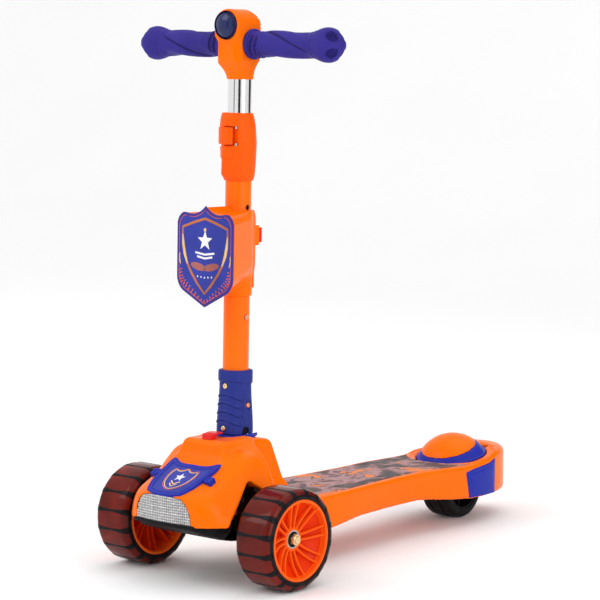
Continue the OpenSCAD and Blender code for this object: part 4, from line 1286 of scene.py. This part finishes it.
PLATE_TIP, PLATE_H, PLATE_T = 150, 119, 2.5
BOX_FRONT, BOX_REAR = -54.5, 17
COVER_MID, COVER_HALF = 212.5, 42.5
BUTTON_H = 232
plate_half = (arc((22, 138.2), 29.2, 221, 288, 10) + [(35, 110.4), (38, 109), (42, 105), (44.5, 99),
              (44.5, 36)] + arc((22.7, 36), 21.8, 0, -56, 8)[1:] + [(0, 0)])
plate_half[0] = (0, PLATE_H)
plate_outline = both_sides(plate_half, PLATE_TIP)


def box_field(x, y, h):
    """Orange housing behind the shield, drawn in to a collar round the tube."""
    depth = np.clip((y - BOX_FRONT) / (4 - BOX_FRONT), 0, 1)
    wide, tall = 1 - 0.53 * depth - 0.14 * ramp(y, 0, 12), 1 - 0.18 * depth
    crest = PLATE_TIP + PLATE_H
    loft = (outline_2d(x / wide, crest - (crest - h) / tall, plate_outline) + 1.0) * wide
    body = crossed(2.4, loft, BOX_FRONT - y, y - BOX_REAR)
    neck = crossed(1.5, np.hypot(x, y) - 17.8, np.abs(h - 211) - 50)
    body = fold(body, neck, 4)
    hollow = common(body + 2.4, -(np.hypot(x, y) - 17.6))
    body = common(body, -common(hollow, y - BOX_REAR + 5))
    body = common(body, TUBE_R + 0.02 - np.hypot(x, y))
    cover = common(np.abs(x) - 12.1, np.abs(h - COVER_MID) - COVER_HALF - 0.1, BOX_REAR - 2.6 - y)
    return cross(body, -cover, 0.4)


piece("shield_box_moulding", surface(box_field, [-45, -55, 150], [45, 20, 272], 1.6), COLUMN,
      "column", orange, nodes=["shield_box"])


def plate_field(x, y, h):
    """Shield plate, its face a little below its rim."""
    edge = outline_2d(x, h, plate_outline)
    face = BOX_FRONT - PLATE_T
    plate = crossed(1.2, edge, face - y, y - BOX_FRONT)
    field = crossed(0.6, edge + 3.2, y - face - 0.5)
    return cross(plate, -field, 0.6)


piece("shield_plate_moulding", surface(plate_field, [-45, -58, 150], [45, -54, 270], 0.9), COLUMN,
      "column", [plate_rim, plate_blue],
      paint=lambda p, normal: outline_2d(p[:, 0], p[:, 2], plate_outline) < -3.4,
      nodes=["shield_plate"])


def raised(points, scale=(1, 1), middle=0):
    """Points drawn from the plate's tip, scaled about a height and moved up to the plate."""
    return [(u * scale[0], PLATE_TIP + middle + (v - middle) * scale[1]) for u, v in points]


def ticks(path, half_length, half_width, every):
    """Short bars set across a path, one at every so many of its points."""
    bars = []
    for i in range(every, len(path) - every, every):
        p, ahead = np.array(path[i]), np.subtract(path[i + 1], path[i - 1])
        n = np.array([-ahead[1], ahead[0]]) / np.linalg.norm(ahead) * half_length
        bars.append(ribbon([p - n, p + n], half_width, RISE))
    return bars


def mirrored(points):
    """The same points on the left and on the right."""
    return [[(side * u, v) for u, v in points] for side in (-1, 1)]


def on_plate(name, material, *marks):
    face = ([0, BOX_FRONT - PLATE_T + 0.5, 0], [1, 0, 0], [0, 0, 1])
    print_on(name, face, COLUMN, "column", material, *marks)


inner_half = [(0, 104), (18, 99), (35.5, 93), (35.6, 84), (34.4, 72), (32, 61), (27.5, 50), (21, 39.5),
              (11, 27), (0, 16)]
lobe = [(10.2 + 12 * math.cos(t), 47.5 + 4.4 * math.sin(t) + 2.2 * math.cos(t))
        for t in np.linspace(0, 2 * math.pi, 24, endpoint=False)]
lower_edge = smooth_path([(-41, 44), (-39, 33), (-30, 24), (-15, 12.5), (0, 3.5), (15, 12.5), (30, 24),
                          (39, 33), (41, 44)], 24, closed=False)
second_edge = [(u * 0.92, 8 + (v - 4) * 0.95) for u, v in lower_edge]

on_plate("shield_print_copper", copper_print,
         ribbon(both_sides(inner_half, PLATE_TIP), 1.5, RISE, closed=True))
on_plate("shield_print_wings", rose_print, *[badge(raised(wing), RISE) for wing in mirrored(lobe)])
# The gold ribbons over the middle of the copper outline's sides are painted highlight on the metallic
# print; the small side marks and the little star are print.
on_plate("shield_print_gold_and_highlight", gold_print,
         *[ribbon(raised(side), [1.0, 2.0, 2.0, 1.0], RISE + 0.08) for side in mirrored(inner_half[3:7])],
         *[ribbon(raised(side), [0.4, 1.3, 0.4], RISE)
           for side in mirrored([(40, 62), (41, 56), (38.5, 49)])],
         badge(star((0, PLATE_TIP + 91), 3.0), RISE))
on_plate("shield_print_star", pale_print,
         badge(star((0, PLATE_TIP + 78), 12.0), RISE + 0.08),
         *[chevron(half, PLATE_TIP + at, 2, 1.2) for half, at in ((15, 62), (12, 57.5))],
         *[badge(star((-11 + 5.5 * k, PLATE_TIP + 35 + 0.5 * abs(k - 2)), 1.5), RISE) for k in range(5)])
on_plate("shield_print_orange", orange_print,
         ribbon(raised(both_sides(plate_half), (0.92, 0.925), 62), 0.28, RISE, closed=True),
         *ticks(raised(lower_edge), 1.7, 0.75, 7), *ticks(raised(second_edge), 1.3, 0.6, 8))


def cover_field(x, y, h):
    """Rear cover: a lid with the button's socket, a grille and two screw holes."""
    lid = block(x, y, h, (0, BOX_REAR - 1.2, COVER_MID), (12, 1.3, COVER_HALF), 0.8)
    socket = block(x, y, h, (0, BOX_REAR + 4, BUTTON_H), (11.5, 5.2, 12), 1.5)
    lid = fold(lid, common(socket, BOX_REAR - 2 - y), 1.5)
    lid = cross(lid, -block(x, y, h, (0, BOX_REAR + 12.5, BUTTON_H), (9.5, 12, 9.5), 1), 0.5)
    slits = [block(x, y, h, (0, BOX_REAR, at), (8, 3, 0.9), 0.5) for at in range(190, 207, 4)]
    lid = cross(lid, -either(*slits), 0.3)
    holes = either(*[np.hypot(x, h - at) - 1.7 for at in (175, 250)])
    return common(lid, -holes, TUBE_R + 0.02 - np.hypot(x, y))


cell = turned([(0.01, 19.2), (1.8, 19.2), (1.8, 18.4), (5.2, 18.0), (5.2, -18.6), (5.1, -19.0),
               (0.01, -19.0)], 48)
piece("battery_cell_row",
      joined(*[laid(cell, [0, -29.5, at], [0, 1, 0], [0, 0, 1]) for at in (187, 198, 209)]),
      COLUMN, "column", aluminium, nodes=["battery_cells"])

piece("box_cover_moulding", surface(cover_field, [-13, 13, 169], [13, 27, 256], 0.8), COLUMN, "column",
      orange, nodes=["box_cover"])


def sound_button_field(x, y, h):
    """Square button with a dished face."""
    cap = block(x, y, h, (0, BOX_REAR + 10.2, BUTTON_H), (9, 6.4, 9), 1.2)
    dent = np.sqrt(x ** 2 + (y - BOX_REAR - 38.6) ** 2 + (h - BUTTON_H) ** 2) - 23
    return cross(cap, -dent, 0.8)


piece("sound_button_cap", surface(sound_button_field, [-10, 20, 222], [10, 34, 242], 0.8), COLUMN,
      "sound_button", red, nodes=["box_button"])


# ---------------------------- handlebar

BAR_H, HEAD_LOW, HEAD_HIGH, HEAD_HW = 457.5, 416, 498, 19
HEAD_FRONT, HEAD_REAR = -26, 16
HORN_H = HEAD_HIGH - HEAD_HW


def head_solid(x, y, h, t=0.0):
    """Solid form of the head, shrunk inwards by t."""
    ax = np.abs(x)
    side = common(ax - HEAD_HW, plane(ax, h, (HEAD_HW, 438), (0.95, -0.42)))
    crown = np.where(h > HORN_H, np.hypot(x, h - HORN_H) - HEAD_HW, side)
    front = plane(y, h, (HEAD_FRONT, 440), (-0.80, -0.60))
    rear = plane(y, h, (HEAD_REAR, 440), (0.9, -0.42))
    low = HEAD_LOW + 5 - h
    solid = crossed(4, crown, HEAD_FRONT - y, y - HEAD_REAR, front, rear,
                    plane(y, h, (HEAD_REAR - 8, HEAD_HIGH), (0.83, 0.55)), low)
    chamfer = 0.707 * (ax - 11.5) - 0.707 * (y - HEAD_FRONT) - 5.2 * ramp(h, HORN_H - 21, HORN_H - 9)
    return cross(solid, chamfer, 0.9) + t


def head_field(x, y, h):
    """Hollow head with a front panel, a seam, three wavy grooves at the rear and the horn's seat."""
    body = head_solid(x, y, h)
    panel = outline_2d(x, h, [(-8, 438), (-5, 430), (5, 430), (8, 438), (9, 460), (-9, 460)])
    body = cross(body, -common(panel, y - HEAD_FRONT - 0.9), 1.0)
    neck = cross(np.hypot(x, y) - 15.8, common(HEAD_LOW - h, h - 432), 1.2)
    body = fold(body, neck, 5)
    seam = common(np.abs(y) - 0.35, -0.45 - body)
    body = common(body, -seam)
    for at in (0, 1, 2):
        line = 489 - 5.5 * at + 1.6 * np.sin(y / 3.2 + at) - h
        body = cross(body, -common(np.abs(line) - 0.45, -0.6 - body, 2.0 - y), 0.5)
    hollow = common(head_solid(x, y, h, 2.8), np.where(h < 432, 15.8 - np.hypot(x, y), -50))
    body = common(body, -hollow)
    tube = common(np.hypot(x, y) - 14, h - 456)
    bar_hole = np.hypot(y, h - BAR_H) - 11
    horn = common(np.hypot(x, h - HORN_H) - 16.8, y - HEAD_FRONT - 8.2)
    return cross(body, -either(tube, bar_hole, horn), 0.5)


piece("head_moulding", surface(head_field, [-20, -27, 415], [20, 17, 499], 1.0), COLUMN, "handlebar",
      orange, nodes=["head_front", "head_rear"])

horn_line = ([(0, -6.2)] + [(16.0 * math.sin(a), -6.2 + 37 * (1 - math.cos(a * 0.447))) for a in
             np.linspace(0.12, 1.35, 9)] + [(16.1, -2.4), (16.1, 4.5), (0, 4.5)])
horn_line = [(max(r, 0.01), -z) for r, z in horn_line]
piece("horn_cap", laid(turned(horn_line[::-1], 96, closed=False), [0, HEAD_FRONT, HORN_H], [1, 0, 0],
                       [0, 0, 1]), COLUMN, "horn", navy, nodes=["horn_button"])

BAR_HALF = 155.5
GRIP_R, BALL_R = 15.1, 20.3
# Height of the ball's middle along the grip
grip_at = BAR_HALF - HEAD_HW - BALL_R


def grip_lines(z, a):
    """Strength of the spiral grooves, the short ribs, the ribs' patch and the swells on a grip."""
    fade = ramp(z, 16, 30) * (1 - ramp(z, grip_at - 26, grip_at - 15))
    groove = np.exp(-((np.mod(3 * a - z * 0.085 + math.pi * 0.5, 2 * math.pi) - math.pi) / 0.35) ** 2)
    ribs = np.exp(-((np.mod((z - 6) * 0.9 + 2.2 * a, 2 * math.pi) - math.pi) / 0.9) ** 2)
    near = ramp(z, 5, 8) * (1 - ramp(z, 17, 25)) * (0.5 + 0.5 * np.cos(a)) ** 0.5
    return groove * fade, ribs, near, fade


def grip_scoops(z, a, r):
    """Depth of the four ribbed scoops of the ball end."""
    depth = np.zeros(np.shape(z))
    for i in range(4):
        off = np.angle(np.exp(1j * (a - math.radians(90 * i + 45)))) * r
        scoop = 1 - ramp(np.hypot(off / 8.5, (z - grip_at - 12) / 7.5), 0.7, 1.0)
        depth = depth + scoop * (2.4 + np.cos(off * 2.2))
    return depth * (z < grip_at + BALL_R * 0.97)


def grip_mesh(n=144):
    """Rubber grip along +Z: flange, short diagonal ribs, three spiral swells and a ball end."""
    body_z = np.concatenate([[0, 0.6, 3.4, 4.2], np.linspace(5, grip_at - 14, 110)])
    ball_a = np.linspace(-50, 84, 60)
    zs = np.concatenate([body_z, grip_at + BALL_R * np.sin(np.radians(ball_a))])
    zs = np.maximum.accumulate(zs)
    angle = 2 * math.pi * np.arange(n) / n
    z, a = np.meshgrid(zs, angle, indexing="ij")
    ball_r = np.sqrt(np.maximum(0.02, BALL_R ** 2 - (z - grip_at) ** 2))
    groove, ribs, near, fade = grip_lines(z, a)
    swell = np.cos(3 * a - z * 0.085)
    shaft = GRIP_R + 1.1 * np.sign(swell) * np.abs(swell) ** 0.6 * fade - 1.2 * groove + 1.5 * ribs * near
    flange = np.where(z < 4, 18 - 0.8 * np.maximum(0, 1 - z), shaft)
    flange = np.where((z >= 4) & (z < 6), 18 + (shaft - 18) * ramp(z, 3.9, 5), flange)
    neck = np.maximum(flange, np.where(z > grip_at - 16, ball_r, 0))
    blend = 1.6 * np.exp(-((z - grip_at + 14.5) / 5) ** 2)
    r = np.where(z > grip_at - 14, np.maximum(ball_r, GRIP_R * (z < grip_at)), neck)
    r = r + blend * (z < grip_at - 4)
    r = r - grip_scoops(z, a, ball_r)
    r = np.minimum(r, BALL_R)
    r[0, :] = 12
    outer_v = np.stack([r * np.cos(a), r * np.sin(a), z], 2).reshape(-1, 3)
    m = len(zs)
    faces = grid_faces(m, n, wrap_columns=True)
    bore_r, bore_z = 11.05, 128 - HEAD_HW
    ring = np.stack([np.cos(angle), np.sin(angle)], 1)
    inner = np.concatenate([np.c_[ring * bore_r, np.zeros(n)], np.c_[ring * bore_r, np.full(n, bore_z)],
                            [[0, 0, bore_z]], [[0, 0, grip_at + BALL_R]]])
    base = m * n
    for j in range(n):
        k = (j + 1) % n
        faces.append([base + j, base + k, k, j][::-1])
        faces.append([base + n + j, base + n + k, base + k, base + j][::-1])
        faces.append([base + 2 * n, base + n + k, base + n + j][::-1])
        faces.append([base + 2 * n + 1, (m - 1) * n + j, (m - 1) * n + k])
    return np.concatenate([outer_v, inner]), faces


def grip_shade_paint(side):
    """Painted shade: the grooves, the gaps between the short ribs and the scoops take the darker, shaded
    copy of the rubber.
    """
    def paint(p, normal):
        z, a = side * p[:, 0] - HEAD_HW, np.arctan2(p[:, 1], side * (BAR_H - p[:, 2]))
        r = np.hypot(p[:, 1], p[:, 2] - BAR_H)
        groove, ribs, near = grip_lines(z, a)[:3]
        return (groove > 0.55) | ((near > 0.4) & (ribs < 0.3)) | (grip_scoops(z, a, r) > 2.2)

    return paint


grip = grip_mesh()
for side, suffix in SIDES:
    verts = grip[0] @ facing(side).T + [side * HEAD_HW, 0, BAR_H]
    piece("grip_rubber_" + suffix, (verts, grip[1]), COLUMN, "handlebar",
          [rubber, rubber_painted_shade], paint=grip_shade_paint(side), nodes=["grip_" + suffix])


# ---------------------------- studio

PAPER_HALF, PAPER_RISE = 14.0, 9.0
BEND_FROM, BEND_R = 2.2, 2.5
SUBJECT = (0, 0, 0.3)
scene = bpy.context.scene


def stand(name, data):
    """Links a new object of the studio to the scene."""
    obj = bpy.data.objects.new(name, data)
    scene.collection.objects.link(obj)
    return obj


def aim(obj, at, target):
    obj.location = at
    obj.rotation_euler = (Vector(target) - Vector(at)).to_track_quat("-Z", "Y").to_euler()


def paper():
    """White sweep: a floor that bends up into a wall behind the scooter."""
    profile = [(-PAPER_HALF, 0.0)]
    profile += [(BEND_FROM + BEND_R * math.sin(a), BEND_R - BEND_R * math.cos(a))
                for a in np.linspace(0, math.pi / 2, 13)]
    profile += [(BEND_FROM + BEND_R, PAPER_RISE)]
    verts = [(x, y, z) for y, z in profile for x in (-PAPER_HALF, PAPER_HALF)]
    faces = [[2 * i, 2 * i + 1, 2 * i + 3, 2 * i + 2] for i in range(len(profile) - 1)]
    data = bpy.data.meshes.new("studio_floor")
    data.from_pydata(verts, [], faces)
    data.polygons.foreach_set("use_smooth", [True] * len(faces))
    n = Nodes("studio_paper")
    n.join(n.ramp(n.noise(2, 3), (0.3, (0.95, 0.95, 0.95)), (0.7, (0.97, 0.97, 0.97))),
           n.shader.inputs["Base Color"])
    n.set(Roughness=0.9)
    data.materials.append(n.material)
    stand("studio_floor", data)


def softbox(name, at, size_x, size_y, power):
    light = bpy.data.lights.new(name, "AREA")
    light.shape = "RECTANGLE"
    light.size, light.size_y, light.energy = size_x, size_y, power
    aim(stand(name, light), at, SUBJECT)


def card(name, at, width, height, tone):
    """Upright dark card, out of the camera's sight, that the bright metal mirrors."""
    at = np.array(at, float)
    side = np.array([at[1], -at[0], 0]) / np.hypot(at[0], at[1]) * width / 2
    up = np.array([0, 0, height / 2])
    mesh = bpy.data.meshes.new(name)
    corners = ((-1, -1), (1, -1), (1, 1), (-1, 1))
    mesh.from_pydata([(at + a * side + b * up).tolist() for a, b in corners], [], [[0, 1, 2, 3]])
    n = Nodes(name + "_cloth")
    n.join(n.ramp(n.noise(5, 2), (0.3, shade(tone, 0.9)), (0.7, tone)), n.shader.inputs["Base Color"])
    n.set(Roughness=0.95, Specular_IOR_Level=0.0)
    mesh.materials.append(n.material)
    obj = stand(name, mesh)
    obj.visible_camera = False


scene.view_settings.view_transform = "Standard"
scene.world = bpy.data.worlds.new("studio_world")
scene.world.use_nodes = True
background = scene.world.node_tree.nodes["Background"]
background.inputs["Color"].default_value = (1.0, 1.0, 1.0, 1)
background.inputs["Strength"].default_value = 0.98

paper()
softbox("key_softbox", (-1.4, -2.2, 2.3), 1.6, 1.6, 22)
softbox("side_softbox", (2.6, -0.6, 1.2), 1.0, 2.0, 16)
softbox("top_softbox", (0.2, 0.6, 2.8), 2.0, 2.0, 12)
card("dark_card", (2.0, -2.75, 1.05), 1.25, 1.5, (0.02, 0.018, 0.018))
card("shade_card", (1.1, 3.4, 1.2), 3.0, 2.8, (0.05, 0.04, 0.04))
card("grey_card", (-0.75, -3.1, 1.05), 0.5, 1.5, (0.12, 0.11, 0.12))

camera = stand("photo_camera", bpy.data.cameras.new("photo_camera"))
aim(camera, (2.0015, -2.3847, 0.6707), (0.23056, -0.34031, 0.3553))
camera.data.lens = 151.33
camera.data.sensor_width = 36
scene.camera = camera
